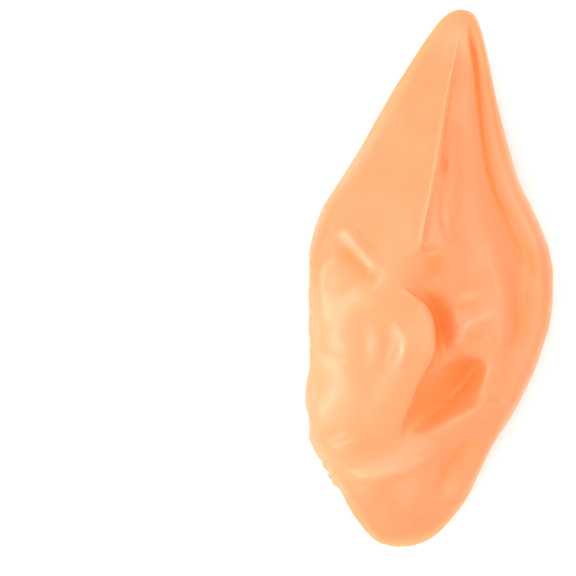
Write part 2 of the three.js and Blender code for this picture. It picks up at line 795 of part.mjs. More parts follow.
// Where the underside of the hollow is worked out, as shares of its span from front to rear. Two places
// stand close together at the mouth's outer wall, where the underside rises steeply from below the table.
const NEAREST_TO_FRONT = 0.1;
const NEAREST_TO_REAR = 0.85;
function underPlaces(span, along) {
  const wallFoot = mouthLine(along).x - BALL_RADIUS - BALL_WIDENED;
  const width = span[1] - span[0];
  const foot = THREE.MathUtils.clamp((wallFoot - span[0]) / width, NEAREST_TO_FRONT, NEAREST_TO_REAR);
  const head = foot + Math.min(WALL / 2 / width, (1 - NEAREST_TO_REAR) / 2);
  const places = [];
  for (let k = 0; k <= INNER_UNDER_STEPS; k += 1) places.push(foot * k / INNER_UNDER_STEPS);
  for (let k = 0; k <= INNER_UNDER_STEPS; k += 1) places.push(head + (1 - head) * k / INNER_UNDER_STEPS);
  return places;
}

// The hollow: the outer form shrunk by a wall, so it has no sharp inner creases
function hollowForm() {
  const samples = outerSections(OUTER_STATIONS * SAMPLING, SAMPLING);
  const rings = [];
  for (const along of stations(INNER_STATIONS)) {
    const y = along * (EAR_LENGTH - 2 * WALL);
    const span = hollowSpan(samples, y);
    if (span[1] - span[0] < WALL) continue;
    const ring = [];
    for (let k = 0; k <= INNER_TOP_STEPS; k += 1) {
      const share = 0.5 - 0.5 * Math.cos(Math.PI * k / INNER_TOP_STEPS);
      const x = THREE.MathUtils.lerp(span[0], span[1], share);
      ring.push(new THREE.Vector3(x, y, hollowLimits(samples, x, y).roof));
    }
    for (const share of underPlaces(span, along).reverse()) {
      const x = THREE.MathUtils.lerp(span[0], span[1], share);
      ring.push(new THREE.Vector3(x, y, hollowLimits(samples, x, y).ground));
    }
    rings.push(ring);
  }
  const middle = (ring) => ring.reduce((sum, p) => sum.add(p), new THREE.Vector3()).divideScalar(ring.length);
  return closedSkin(rings, middle(rings[0]), middle(rings[rings.length - 1]));
}

const wasm = await Module();
wasm.setup();

// A closed geometry as a solid that can be cut
function solidFrom(geometry) {
  geometry.deleteAttribute("normal");
  geometry.deleteAttribute("uv");
  const merged = mergeVertices(geometry);
  const mesh = new wasm.Mesh({
    numProp: 3,
    vertProperties: new Float32Array(merged.attributes.position.array),
    triVerts: new Uint32Array(merged.index.array),
  });
  return new wasm.Manifold(mesh);
}

function geometryFrom(solid) {
  const mesh = solid.getMesh();
  const geometry = new THREE.BufferGeometry();
  geometry.setAttribute("position", new THREE.BufferAttribute(new Float32Array(mesh.vertProperties), 3));
  geometry.setIndex(new THREE.BufferAttribute(new Uint32Array(mesh.triVerts), 1));
  geometry.computeVertexNormals();
  return geometry;
}

// Everything above the table, as a block that is larger than the ear
function aboveTable() {
  const block = new THREE.BoxGeometry(2 * EAR_WIDTH, 2 * EAR_LENGTH, 2 * EAR_DEPTH);
  return solidFrom(block.translate(0, 0, EAR_DEPTH));
}

function latex() {
  return new THREE.MeshStandardMaterial({ name: "latex", color: 0xf7ab74, roughness: 0.45, metalness: 0 });
}

function earShell() {
  const skin = solidFrom(outerForm()).subtract(solidFrom(hollowForm())).intersect(aboveTable());
  const mesh = new THREE.Mesh(geometryFrom(skin), latex());
  mesh.name = "ear_shell";
  return mesh;
}

const ear = new THREE.Group();
ear.add(earShell());

export default ear;
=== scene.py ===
# %% [markdown]
# # A slip-on pointed ear in moulded latex
#
# The real thing is one thin skin of orange latex, cast in a mould and hollow behind, which a wearer
# pulls over their own ear. It lies face up on a pale table. This lesson builds the skin as one closed
# mesh from a few curves that run from the tip to the lobe, folds it, hollows it, and then gives it a
# soft, slightly see-through rubber finish under a big soft light.
#
# A sculpted form like this could also be pushed about by hand in sculpt mode. Building it from named
# lines keeps every fold at a known place, so it can be measured and changed later.

import math

import bmesh
import bpy
import numpy as np
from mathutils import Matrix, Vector


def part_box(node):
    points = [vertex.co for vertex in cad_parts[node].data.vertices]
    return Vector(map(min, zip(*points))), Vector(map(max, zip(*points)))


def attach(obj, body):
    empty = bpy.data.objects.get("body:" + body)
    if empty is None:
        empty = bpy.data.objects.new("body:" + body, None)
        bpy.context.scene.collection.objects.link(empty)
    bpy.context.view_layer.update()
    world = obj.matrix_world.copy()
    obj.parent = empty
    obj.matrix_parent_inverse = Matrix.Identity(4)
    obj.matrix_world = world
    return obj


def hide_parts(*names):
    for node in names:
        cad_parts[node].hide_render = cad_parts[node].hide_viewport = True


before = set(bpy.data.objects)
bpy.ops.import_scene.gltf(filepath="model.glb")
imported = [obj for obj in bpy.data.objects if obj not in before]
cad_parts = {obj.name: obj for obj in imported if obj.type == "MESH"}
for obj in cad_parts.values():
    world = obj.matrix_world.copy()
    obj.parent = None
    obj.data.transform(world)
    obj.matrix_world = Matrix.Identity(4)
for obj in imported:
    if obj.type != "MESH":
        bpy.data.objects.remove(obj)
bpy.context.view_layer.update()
low, high = (Vector(corner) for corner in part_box("ear_shell"))
EAR_WIDTH, EAR_LENGTH, BOX_DEPTH = high - low
MM = 0.001
WALL = 1.5 * MM
# the skin's highest place, as a share of the depth that the tables' heights are shares of
HIGHEST_SHARE = 0.9525
EAR_DEPTH = BOX_DEPTH / HIGHEST_SHARE
print(f"The ear is {EAR_LENGTH / MM:.1f} mm long, {EAR_WIDTH / MM:.1f} wide and {BOX_DEPTH / MM:.1f} high")

# %% [markdown]
# ## The lines of an ear
#
# An ear reads as a handful of lines: the outline, the free edge of the front flap, the ridge round the
# bowl, the groove beside it, and the rounded outer rim. Each is a short table of places along the ear.
# The numbers are shares, so the form follows the frame: "along" is a share of the length from the
# middle towards the tip, "across" of the width from the middle towards the outer rim, and "high" of a
# depth a little over the highest place on the skin.
#
# Tables of sections suit a form that changes smoothly from end to end. A subdivision cage would do as
# well, but its sharp free edge would need many creased loops.

# %% The outline
TIP_ACROSS, TIP_HIGH = 0.130, 0.377
LOBE_ACROSS, LOBE_HIGH = -0.119, 0.208

# along, front across, front high, rear across, rear high
OUTLINE = [
    (0.489, 0.067, 0.375, 0.184, 0.375),
    (0.459, 0.010, 0.370, 0.213, 0.370),
    (0.404, -0.071, 0.360, 0.241, 0.360),
    (0.348, -0.148, 0.350, 0.265, 0.360),
    (0.293, -0.217, 0.330, 0.293, 0.360),
    (0.238, -0.285, 0.310, 0.326, 0.370),
    (0.182, -0.362, 0.270, 0.362, 0.400),
    (0.127, -0.435, 0.190, 0.419, 0.430),
    (0.090, -0.460, 0.100, 0.455, 0.450),
    (0.053, -0.472, 0.020, 0.484, 0.475),
    (0.006, -0.476, 0.020, 0.500, 0.490),
    (-0.040, -0.482, 0.020, 0.498, 0.490),
    (-0.086, -0.490, 0.020, 0.486, 0.475),
    (-0.123, -0.480, 0.020, 0.462, 0.455),
    (-0.169, -0.488, 0.020, 0.427, 0.425),
    (-0.225, -0.500, 0.020, 0.370, 0.377),
    (-0.262, -0.488, 0.020, 0.326, 0.340),
    (-0.299, -0.480, 0.020, 0.273, 0.300),
    (-0.326, -0.460, 0.020, 0.241, 0.280),
    (-0.354, -0.429, 0.020, 0.213, 0.260),
    (-0.382, -0.395, 0.030, 0.184, 0.240),
    (-0.393, -0.362, 0.090, 0.174, 0.235),
    (-0.419, -0.334, 0.140, 0.140, 0.225),
    (-0.446, -0.298, 0.170, 0.095, 0.215),
    (-0.474, -0.249, 0.190, 0.038, 0.210),
    (-0.489, -0.213, 0.200, -0.010, 0.210),
]

# %% The broad front: cheek below, flap above
# along, across, high
CHEEK = [
    (0.459, 0.040, 0.480),
    (0.376, -0.070, 0.550),
    (0.238, -0.245, 0.620),
    (0.127, -0.402, 0.700),
    (0.080, -0.434, 0.715),
    (0.034, -0.452, 0.690),
    (-0.040, -0.456, 0.595),
    (-0.123, -0.453, 0.535),
    (-0.225, -0.470, 0.490),
    (-0.299, -0.450, 0.440),
    (-0.354, -0.392, 0.385),
    (-0.409, -0.308, 0.378),
    (-0.465, -0.230, 0.368),
]
SHOULDER = [
    (0.459, 0.095, 0.525),
    (0.376, 0.026, 0.623),
    (0.311, -0.038, 0.698),
    (0.238, -0.079, 0.774),
    (0.127, -0.176, 0.860),
    (0.053, -0.225, 0.850),
    (0.006, -0.241, 0.826),
    (-0.040, -0.233, 0.795),
    (-0.123, -0.209, 0.745),
    (-0.225, -0.249, 0.670),
    (-0.299, -0.273, 0.585),
    (-0.354, -0.249, 0.510),
    (-0.409, -0.192, 0.483),
    (-0.465, -0.168, 0.423),
]

# %% [markdown]
# The free edge is the most telling line: it runs down the flap, turns sharply at the flap's foot, and
# goes on round the tragus, the small lobe in front of the ear's opening. Two more columns say how the
# skin steps down behind it: how far out the foot of the step lies, and how far it drops.

# %% The free edge of the flap and the tragus
# along, across, high, step out, step down
FREE_EDGE = [
    (0.459, 0.132, 0.530, 0.004, 0.000),
    (0.432, 0.115, 0.556, 0.005, 0.003),
    (0.404, 0.099, 0.590, 0.007, 0.006),
    (0.311, 0.059, 0.705, 0.008, 0.012),
    (0.238, 0.034, 0.805, 0.010, 0.018),
    (0.173, 0.008, 0.890, 0.010, 0.024),
    (0.117, -0.019, 0.940, 0.011, 0.028),
    (0.060, -0.042, 0.945, 0.012, 0.028),
    (0.034, -0.064, 0.928, 0.016, 0.020),
    (0.008, -0.090, 0.902, 0.016, 0.014),
    (-0.012, -0.108, 0.878, 0.012, 0.012),
    (-0.024, -0.090, 0.862, 0.008, 0.020),
    (-0.034, -0.055, 0.848, 0.006, 0.044),
    (-0.053, -0.010, 0.832, 0.005, 0.075),
    (-0.077, 0.011, 0.824, 0.004, 0.085),
    (-0.095, 0.018, 0.820, 0.004, 0.085),
    (-0.123, 0.019, 0.816, 0.005, 0.072),
    (-0.141, 0.012, 0.806, 0.006, 0.062),
    (-0.171, -0.018, 0.780, 0.008, 0.048),
    (-0.199, -0.053, 0.742, 0.008, 0.042),
    (-0.238, -0.084, 0.684, 0.008, 0.036),
    (-0.271, -0.114, 0.622, 0.008, 0.022),
    (-0.302, -0.126, 0.562, 0.012, 0.008),
    (-0.354, -0.128, 0.509, 0.014, 0.002),
    (-0.409, -0.119, 0.495, 0.016, 0.002),
    (-0.465, -0.119, 0.434, 0.008, 0.001),
]

# %% The bowl and the ridge round it
# along, across, high
FLOOR = [
    (0.459, 0.142, 0.527),
    (0.404, 0.119, 0.568),
    (0.311, 0.076, 0.664),
    (0.238, 0.056, 0.756),
    (0.173, 0.048, 0.840),
    (0.117, 0.046, 0.890),
    (0.070, 0.054, 0.895),
    (0.050, 0.040, 0.888),
    (0.030, 0.020, 0.865),
    (0.008, -0.006, 0.838),
    (-0.010, -0.044, 0.820),
    (-0.022, -0.050, 0.800),
    (-0.034, -0.020, 0.740),
    (-0.048, 0.006, 0.660),
    (-0.066, 0.026, 0.605),
    (-0.090, 0.037, 0.590),
    (-0.120, 0.042, 0.635),
    (-0.142, 0.048, 0.655),
    (-0.158, 0.056, 0.635),
    (-0.171, 0.056, 0.600),
    (-0.199, 0.018, 0.555),
    (-0.225, -0.020, 0.540),
    (-0.243, -0.045, 0.545),
    (-0.271, -0.084, 0.550),
    (-0.291, -0.102, 0.550),
    (-0.311, -0.100, 0.540),
    (-0.354, -0.090, 0.503),
    (-0.409, -0.080, 0.490),
    (-0.465, -0.099, 0.431),
]
SHELF = [
    (0.459, 0.147, 0.526),
    (0.404, 0.138, 0.566),
    (0.311, 0.116, 0.658),
    (0.238, 0.104, 0.738),
    (0.173, 0.106, 0.800),
    (0.117, 0.115, 0.836),
    (0.060, 0.125, 0.835),
    (0.020, 0.125, 0.810),
    (-0.014, 0.120, 0.780),
    (-0.040, 0.110, 0.745),
    (-0.066, 0.100, 0.710),
    (-0.105, 0.105, 0.690),
    (-0.136, 0.125, 0.670),
    (-0.150, 0.148, 0.610),
    (-0.160, 0.158, 0.520),
    (-0.171, 0.158, 0.455),
    (-0.185, 0.148, 0.435),
    (-0.199, 0.130, 0.430),
    (-0.225, 0.070, 0.435),
    (-0.243, 0.022, 0.455),
    (-0.271, -0.046, 0.500),
    (-0.291, -0.072, 0.535),
    (-0.311, -0.064, 0.540),
    (-0.354, -0.040, 0.496),
    (-0.409, -0.045, 0.480),
    (-0.465, -0.085, 0.425),
]
INNER_RIDGE = [
    (0.459, 0.150, 0.528),
    (0.432, 0.154, 0.545),
    (0.404, 0.158, 0.570),
    (0.311, 0.174, 0.645),
    (0.219, 0.192, 0.722),
    (0.145, 0.217, 0.768),
    (0.090, 0.242, 0.778),
    (-0.003, 0.281, 0.775),
    (-0.058, 0.292, 0.762),
    (-0.114, 0.280, 0.738),
    (-0.151, 0.258, 0.708),
    (-0.188, 0.236, 0.672),
    (-0.252, 0.196, 0.612),
    (-0.299, 0.132, 0.556),
    (-0.354, 0.067, 0.480),
    (-0.409, 0.010, 0.450),
    (-0.465, -0.063, 0.408),
]

# %% The groove and the outer rim
# along, across, high
GROOVE = [
    (0.459, 0.162, 0.505),
    (0.432, 0.172, 0.492),
    (0.404, 0.183, 0.500),
    (0.311, 0.206, 0.556),
    (0.247, 0.223, 0.602),
    (0.173, 0.258, 0.644),
    (0.117, 0.308, 0.660),
    (0.071, 0.356, 0.660),
    (0.025, 0.392, 0.662),
    (-0.040, 0.385, 0.668),
    (-0.100, 0.368, 0.656),
    (-0.160, 0.330, 0.632),
    (-0.225, 0.280, 0.590),
    (-0.280, 0.221, 0.535),
    (-0.354, 0.140, 0.453),
    (-0.409, 0.075, 0.423),
    (-0.465, -0.022, 0.385),
]
RIM = [
    (0.459, 0.188, 0.500),
    (0.404, 0.213, 0.526),
    (0.311, 0.247, 0.580),
    (0.219, 0.288, 0.634),
    (0.173, 0.326, 0.660),
    (0.117, 0.382, 0.678),
    (0.071, 0.426, 0.680),
    (0.025, 0.448, 0.680),
    (-0.021, 0.455, 0.680),
    (-0.077, 0.443, 0.674),
    (-0.132, 0.410, 0.656),
    (-0.188, 0.362, 0.626),
    (-0.225, 0.326, 0.595),
    (-0.280, 0.265, 0.524),
    (-0.354, 0.176, 0.430),
    (-0.409, 0.111, 0.390),
    (-0.465, 0.018, 0.347),
]

# %% [markdown]
# ## The underside and the mouth
#
# Behind, the skin turns in under the rim and comes forward to the heel, the outer edge of the mouth.
# The wearer's ear goes in there. Between the mouth's ends the underside simply runs on below the table
# and is cut off level later, which gives a flat rim all round for the ear to lie on.

# %% The underside
# along, across, high
BACK_WALL = [
    (0.404, 0.205, 0.240),
    (0.311, 0.229, 0.204),
    (0.219, 0.261, 0.185),
    (0.117, 0.334, 0.196),
    (0.025, 0.391, 0.226),
    (-0.040, 0.391, 0.226),
    (-0.132, 0.342, 0.210),
    (-0.225, 0.281, 0.180),
    (-0.299, 0.209, 0.136),
    (-0.373, 0.136, 0.090),
    (-0.446, 0.043, 0.098),
]
HEEL = [
    (0.404, 0.156, 0.180),
    (0.311, 0.160, 0.128),
    (0.219, 0.168, 0.090),
    (0.145, 0.188, 0.060),
    (0.062, 0.229, 0.030),
    (-0.040, 0.245, 0.030),
    (-0.132, 0.205, 0.030),
    (-0.225, 0.140, 0.030),
    (-0.299, 0.067, 0.030),
    (-0.354, 0.006, 0.030),
    (-0.391, -0.030, 0.034),
    (-0.446, -0.059, 0.068),
]
KEEL = [
    (0.404, 0.083, 0.180),
    (0.311, 0.034, 0.120),
    (0.219, -0.018, 0.076),
    (0.145, -0.059, 0.045),
    (0.071, -0.119, 0.020),
    (-0.040, -0.119, 0.020),
    (-0.225, -0.180, 0.020),
    (-0.380, -0.200, 0.020),
    (-0.419, -0.184, 0.050),
    (-0.446, -0.168, 0.076),
]
# along, in from the front edge, high
TOE = [
    (0.404, 0.032, 0.226),
    (0.311, 0.053, 0.180),
    (0.219, 0.053, 0.128),
    (0.145, 0.065, 0.075),
    (0.099, 0.060, 0.040),
    (0.075, 0.030, 0.015),
    (0.055, 0.005, 0.020),
    (-0.370, 0.005, 0.020),
    (-0.384, 0.036, 0.012),
    (-0.398, 0.040, 0.038),
    (-0.428, 0.057, 0.068),
    (-0.465, 0.060, 0.098),
]

# %% The mouth
MOUTH_SINK = 2.5 * WALL
MOUTH_RAMP = 0.026
HEEL_LIP = 0.006
HEEL_LIP_HIGH = 0.9
# the line that dips below the table: its last place towards the tip, and towards the lobe
MOUTH_ENDS = {"heel": (0.050, -0.370), "keel": (0.084, -0.394), "toe": (0.070, -0.383)}

# %% [markdown]
# ## Curves through tables
#
# A plain cubic spline overshoots where a table turns sharply, which would show as false dents. A
# monotone cubic never does: it stays between neighbouring rows. Near the tip and the lobe the ear
# closes in a round end, so the curves run over an angle that moves slowly there, not over the length.


# %% Curve helpers
def smooth(value):
    """A smooth step from 0 to 1."""
    s = np.clip(value, 0, 1)
    return s * s * (3 - 2 * s)


def turn(along):
    """0 at the lobe and pi at the tip."""
    return np.arccos(np.clip(-2 * np.asarray(along, float), -1, 1))


def hermite(a, leaving, b, arriving, s):
    """The cubic from a to b that leaves with one tangent and arrives with the other."""
    rest = 1 - s
    ends = (1 + 2 * s) * rest * rest * a + s * s * (3 - 2 * s) * b
    return ends + s * rest * rest * leaving - s * s * rest * arriving


def table_curve(position, value):
    """A smooth curve through a table that never overshoots it."""
    step = np.diff(position)
    slope = np.diff(value) / step
    before, after = 2 * step[1:] + step[:-1], step[1:] + 2 * step[:-1]
    tangent = np.empty_like(value)
    tangent[0], tangent[-1] = slope[0], slope[-1]
    rising = slope[:-1] * slope[1:] > 0
    safe = np.where(rising[:, None], np.stack([slope[:-1], slope[1:]], 1), 1)
    tangent[1:-1] = np.where(rising, (before + after) / (before / safe[:, 0] + after / safe[:, 1]), 0)

    def curve(at):
        i = np.clip(np.searchsorted(position, at) - 1, 0, len(step) - 1)
        s = (at - position[i]) / step[i]
        return hermite(value[i], tangent[i] * step[i], value[i + 1], tangent[i + 1] * step[i], s)

    return curve


def column_curve(table, column, at_tip, at_lobe):
    """One column of a table as a curve over the ear's length."""
    rows = [(turn(row[0]), row[column]) for row in table] + [(math.pi, at_tip), (0.0, at_lobe)]
    rows = np.array(sorted(rows), float)
    curve = table_curve(rows[:, 0], rows[:, 1])
    return lambda along: curve(turn(along))


def skin_line(table, across=1, height=2):
    """A line along the skin, which gives its points (x, z) at many sections at once."""
    x = column_curve(table, across, TIP_ACROSS, LOBE_ACROSS)
    z = column_curve(table, height, TIP_HIGH, LOBE_HIGH)
    return lambda along: np.stack([x(along) * EAR_WIDTH, z(along) * EAR_DEPTH], -1)


# %% [markdown]
# ## The cut edge
#
# Along the cheek the real skin was trimmed by hand with scissors, so its edge is a little wavy, with three
# bites near the lobe. The waves are a few sines of different lengths, and each bite is a small dip.

# %% The trimmed front edge
# length of the wave as a share of the ear's length, its depth as a share of the width, where it starts
EDGE_WAVES = [(0.092, 0.0036, 0.4), (0.053, 0.0018, 2.1), (0.027, 0.0006, 4.0)]
# along, half length, depth
EDGE_BITES = [(-0.341, 0.0055, 0.010), (-0.362, 0.005, 0.012), (-0.378, 0.0045, 0.012)]
CUT_TOP, CUT_BOTTOM = 0.05, -0.385
CUT_TOP_FADE, CUT_BOTTOM_FADE = 0.03, 0.01


def trimmed(along):
    """How far the cut edge stands in from the smooth outline, in metres."""
    waves = sum(depth * np.sin(2 * np.pi * along / length + start) for length, depth, start in EDGE_WAVES)
    bites = sum(depth * np.exp(-(((along - at) / half) ** 2)) for at, half, depth in EDGE_BITES)
    zone = smooth((CUT_TOP - along) / CUT_TOP_FADE) * smooth((along - CUT_BOTTOM) / CUT_BOTTOM_FADE)
    return (waves + bites) * zone * EAR_WIDTH


# %% The lines in order
front_outline = skin_line(OUTLINE, 1, 2)
rear_line = skin_line(OUTLINE, 3, 4)
free_edge_line = skin_line(FREE_EDGE)
heel_line = skin_line(HEEL)
keel_line = skin_line(KEEL)
step_out = column_curve(FREE_EDGE, 3, 0, 0)
step_down = column_curve(FREE_EDGE, 4, 0, 0)
toe_inset = column_curve(TOE, 1, 0, 0)
toe_high = column_curve(TOE, 2, TIP_HIGH, LOBE_HIGH)


def front_line(along):
    points = front_outline(along)
    points[:, 0] += trimmed(along)
    return points


def step_foot_line(along):
    shift = np.stack([step_out(along) * EAR_WIDTH, -step_down(along) * EAR_DEPTH], -1)
    return free_edge_line(along) + shift


def sunk(points, along, line):
    """Lowers a line of the underside below the table between the mouth's ends."""
    top, bottom = MOUTH_ENDS[line]
    open_share = smooth((top - along) / MOUTH_RAMP) * smooth((along - bottom) / MOUTH_RAMP)
    points = points.copy()
    points[:, 1] += (-MOUTH_SINK - points[:, 1]) * open_share
    return points


def mouth_line(along):
    return sunk(heel_line(along) * (1, HEEL_LIP_HIGH) - (HEEL_LIP * EAR_WIDTH, 0), along, "heel")


def toe_line(along):
    x = front_line(along)[:, 0] + toe_inset(along) * EAR_WIDTH
    return sunk(np.stack([x, toe_high(along) * EAR_DEPTH], -1), along, "toe")


# How sharply the skin bends at a line: 0 is round, 1 is a corner. Towards the tip and the lobe every
# line fades into a smooth round end.
# along, free edge, foot of the step, floor, shelf, groove
CRISPNESS = [
    (0.470, 0.00, 0.00, 0.00, 0.00, 0.00),
    (0.445, 0.10, 0.10, 0.05, 0.00, 0.50),
    (0.390, 0.50, 0.35, 0.10, 0.00, 0.75),
    (0.311, 0.72, 0.40, 0.10, 0.00, 0.85),
    (0.150, 0.75, 0.40, 0.10, 0.00, 0.85),
    (0.070, 0.70, 0.40, 0.05, 0.00, 0.55),
    (0.044, 0.25, 0.15, 0.00, 0.00, 0.35),
    (0.000, 0.15, 0.05, 0.00, 0.00, 0.00),
    (-0.028, 0.30, 0.05, 0.25, 0.00, 0.00),
    (-0.060, 0.50, 0.05, 0.70, 0.00, 0.00),
    (-0.095, 0.45, 0.00, 0.50, 0.00, 0.00),
    (-0.120, 0.42, 0.00, 0.15, 0.00, 0.00),
    (-0.140, 0.40, 0.00, 0.00, 0.10, 0.00),
    (-0.171, 0.35, 0.05, 0.00, 0.25, 0.00),
    (-0.243, 0.30, 0.05, 0.00, 0.25, 0.00),
    (-0.280, 0.15, 0.00, 0.00, 0.10, 0.00),
    (-0.300, 0.00, 0.00, 0.00, 0.00, 0.00),
    (-0.470, 0.00, 0.00, 0.00, 0.00, 0.00),
]


def crisp(column):
    return column_curve(CRISPNESS, column, 0, 0)


# name, line, how sharply the skin bends there, steps to the next line
TOP_LINES = [
    ("front", front_line, 0.0, 14),
    ("cheek", skin_line(CHEEK), 0.15, 16),
    ("shoulder", skin_line(SHOULDER), 0.2, 24),
    ("free edge", free_edge_line, crisp(1), 8),
    ("step foot", step_foot_line, crisp(2), 14),
    ("floor", skin_line(FLOOR), crisp(3), 16),
    ("shelf", skin_line(SHELF), crisp(4), 18),
    ("inner ridge", skin_line(INNER_RIDGE), 0.1, 20),
    ("groove", skin_line(GROOVE), crisp(5), 14),
    ("rim", skin_line(RIM), 0.05, 14),
    ("rear", rear_line, 0.0, 0),
]
UNDER_LINES = [
    ("rear", rear_line, 0.0, 10),
    ("back wall", skin_line(BACK_WALL), 0.1, 8),
    ("heel", heel_line, 0.5, 4),
    ("mouth", mouth_line, 0.7, 12),
    ("keel", lambda along: sunk(keel_line(along), along, "keel"), 0.3, 14),
    ("toe", toe_line, 0.6, 6),
    ("front", front_line, 0.0, 0),
]
FREE_EDGE_INDEX = sum(steps for _, _, _, steps in TOP_LINES[:3])
print(f"{len(TOP_LINES)} lines over the face and {len(UNDER_LINES)} under it")


# %% [markdown]
# ## Sections
#
# Each section is one smooth curve across the ear through the points of all the lines. A cubic through
# each pair of points needs a direction at every point: the two chords beside it are averaged, the
# shorter one counting more. Shortening the tangents makes a corner, which is how the free edge stays
# crisp while the rim stays round.

# %% Section curves
def section_curves(lines, along, start_up):
    """Points (x, z) of all sections at once: sections, points across, 2."""
    points = np.stack([line(along) for _, line, _, _ in lines], 1)
    sharp = [sharpness(along)[:, None] if callable(sharpness) else sharpness for _, _, sharpness, _ in lines]
    chords = np.diff(points, axis=1)
    lengths = np.maximum(np.linalg.norm(chords, axis=2), 1e-9)[..., None]
    directions = np.zeros_like(points)
    directions[:, 0, 1], directions[:, -1, 1] = start_up, -start_up
    before = chords[:, :-1] / lengths[:, :-1] * lengths[:, 1:]
    after = chords[:, 1:] / lengths[:, 1:] * lengths[:, :-1]
    mean = before + after
    directions[:, 1:-1] = mean / np.maximum(np.linalg.norm(mean, axis=2, keepdims=True), 1e-12)
    parts = []
    for i, (_, _, _, steps) in enumerate(lines[:-1]):
        s = (np.arange(steps) / steps)[None, :, None]
        leaving = (directions[:, i] * lengths[:, i] * (1 - sharp[i]))[:, None]
        arriving = (directions[:, i + 1] * lengths[:, i] * (1 - sharp[i + 1]))[:, None]
        parts.append(hermite(points[:, i][:, None], leaving, points[:, i + 1][:, None], arriving, s))
    parts.append(points[:, -1:])
    return np.concatenate(parts, 1)


def stations(count):
    """Places along the ear, closer together towards the tip and the lobe."""
    first_turn = 0.03
    share = np.linspace(0, 1, count)
    even = (share - 0.5) * math.cos(first_turn)
    round_ends = -0.5 * np.cos(first_turn + (math.pi - 2 * first_turn) * share)
    return (even + round_ends) / 2


# %% [markdown]
# ## Folds
#
# On top of the big lines, the skin carries many small folds: the rounded foot of the flap with its tight
# crease, the ridge of the tragus, the folds that fan out in the bowl, the antitragus above the lobe.
# Each is a path drawn over the skin and lifted or sunk in a bell shape, with a width of its own on
# either side, so that one flank can be steep and the other soft. Displacement modifiers with painted
# textures could do this too, but a path is easier to place to the millimetre.

# %% The table of folds
# widths are shares of the ear's width, and the taper is a share of the path's length
# name, side, left width, right width, height in millimetres, taper, points of the path (across, along)
FOLDS = [
    ("lip of the pinch", "front", 0.020, 0.034, 0.42, 0.3,
     [(-0.350, 0.099), (-0.334, 0.093), (-0.282, 0.067), (-0.229, 0.038), (-0.205, 0.020)]),
    ("dip above the pinch", "front", 0.030, 0.022, -0.25, 0.35,
     [(-0.318, 0.106), (-0.262, 0.084), (-0.216, 0.060), (-0.180, 0.032)]),
    ("pocket under the pinch", "front", 0.034, 0.045, -0.42, 0.3,
     [(-0.388, 0.084), (-0.372, 0.072), (-0.322, 0.046), (-0.271, 0.018), (-0.245, 0.000),
      (-0.200, -0.018)]),
    ("ridge of the tragus", "front", 0.034, 0.032, 0.50, 0.3,
     [(-0.144, -0.070), (-0.116, -0.100), (-0.108, -0.128), (-0.124, -0.152), (-0.148, -0.174)]),
    ("valley of the tragus", "front", 0.030, 0.026, -0.2, 0.3,
     [(-0.190, -0.073), (-0.168, -0.120), (-0.192, -0.172)]),
    ("arc of the cheek", "front", 0.030, 0.026, 0.18, 0.3,
     [(-0.262, -0.070), (-0.232, -0.096), (-0.222, -0.128), (-0.236, -0.156), (-0.262, -0.176)]),
    ("hollow behind the arc", "front", 0.030, 0.026, -0.2, 0.3,
     [(-0.296, -0.070), (-0.268, -0.119), (-0.296, -0.168)]),
    ("bead of the free edge", "front", 0.014, 0.010, 0.3, 0.1,
     [(0.126, 0.452), (0.085, 0.376), (0.052, 0.302), (0.024, 0.228), (-0.004, 0.160),
      (-0.040, 0.066)]),
    ("edge of the jaw", "both", 0.030, 0.056, 0.8, 0.3,
     [(0.070, -0.308), (0.000, -0.322), (-0.075, -0.340), (-0.160, -0.356), (-0.250, -0.366),
      (-0.330, -0.372)]),
    ("antitragus", "both", 0.036, 0.040, 1.1, 0.25,
     [(-0.110, -0.302), (0.020, -0.276), (0.123, -0.252), (0.250, -0.236), (0.340, -0.232)]),
    ("dent of the lobe", "both", 0.042, 0.060, -1.9, 0.3,
     [(-0.010, -0.430), (0.060, -0.380), (0.095, -0.345), (0.150, -0.306), (0.225, -0.280)]),
    ("upper fold of the bowl", "inside", 0.020, 0.024, 0.55, 0.5,
     [(0.112, -0.096), (0.170, -0.080), (0.262, -0.060)]),
    ("lower fold of the bowl", "inside", 0.020, 0.022, 0.45, 0.5,
     [(0.052, -0.126), (0.110, -0.116), (0.160, -0.100)]),
    ("valley between the folds", "inside", 0.022, 0.018, -0.5, 0.5,
     [(0.150, -0.122), (0.200, -0.112), (0.245, -0.102)]),
    ("valley above the folds", "inside", 0.020, 0.022, -0.45, 0.5,
     [(0.040, -0.062), (0.100, -0.058), (0.170, -0.050), (0.240, -0.038)]),
    ("crest of the inner ridge", "inside", 0.034, 0.028, 0.4, 0.15,
     [(0.200, 0.052), (0.255, 0.016), (0.279, -0.030), (0.281, -0.077), (0.256, -0.130),
      (0.222, -0.168), (0.210, -0.215)]),
    ("hollow beside the crest", "inside", 0.034, 0.034, -0.7, 0.3,
     [(0.306, 0.060), (0.340, 0.000), (0.366, -0.080), (0.345, -0.160)]),
    ("leaf beside the flap", "inside", 0.022, 0.022, 0.4, 0.3,
     [(0.100, 0.300), (0.095, 0.200), (0.095, 0.100)]),
    ("gutter beside the flap", "inside", 0.016, 0.012, -0.35, 0.3,
     [(0.063, 0.300), (0.055, 0.238), (0.053, 0.190), (0.045, 0.136), (0.052, 0.095), (0.070, 0.066)]),
    ("nick beside the flap", "inside", 0.012, 0.012, -0.4, 0.5,
     [(0.060, 0.238), (0.056, 0.210), (0.056, 0.180)]),
    ("small ledge", "inside", 0.010, 0.014, -0.45, 0.4,
     [(-0.046, 0.058), (-0.020, 0.056), (0.010, 0.055), (0.034, 0.052)]),
    ("recess under the ledge", "inside", 0.034, 0.034, -0.8, 0.4,
     [(0.016, 0.038), (0.024, 0.016), (0.024, -0.010)]),
    ("rib beside the recess", "inside", 0.022, 0.022, 0.3, 0.3,
     [(0.050, 0.070), (0.080, 0.046), (0.084, 0.000), (0.070, -0.040)]),
]
FOLD_REACH = 2.6
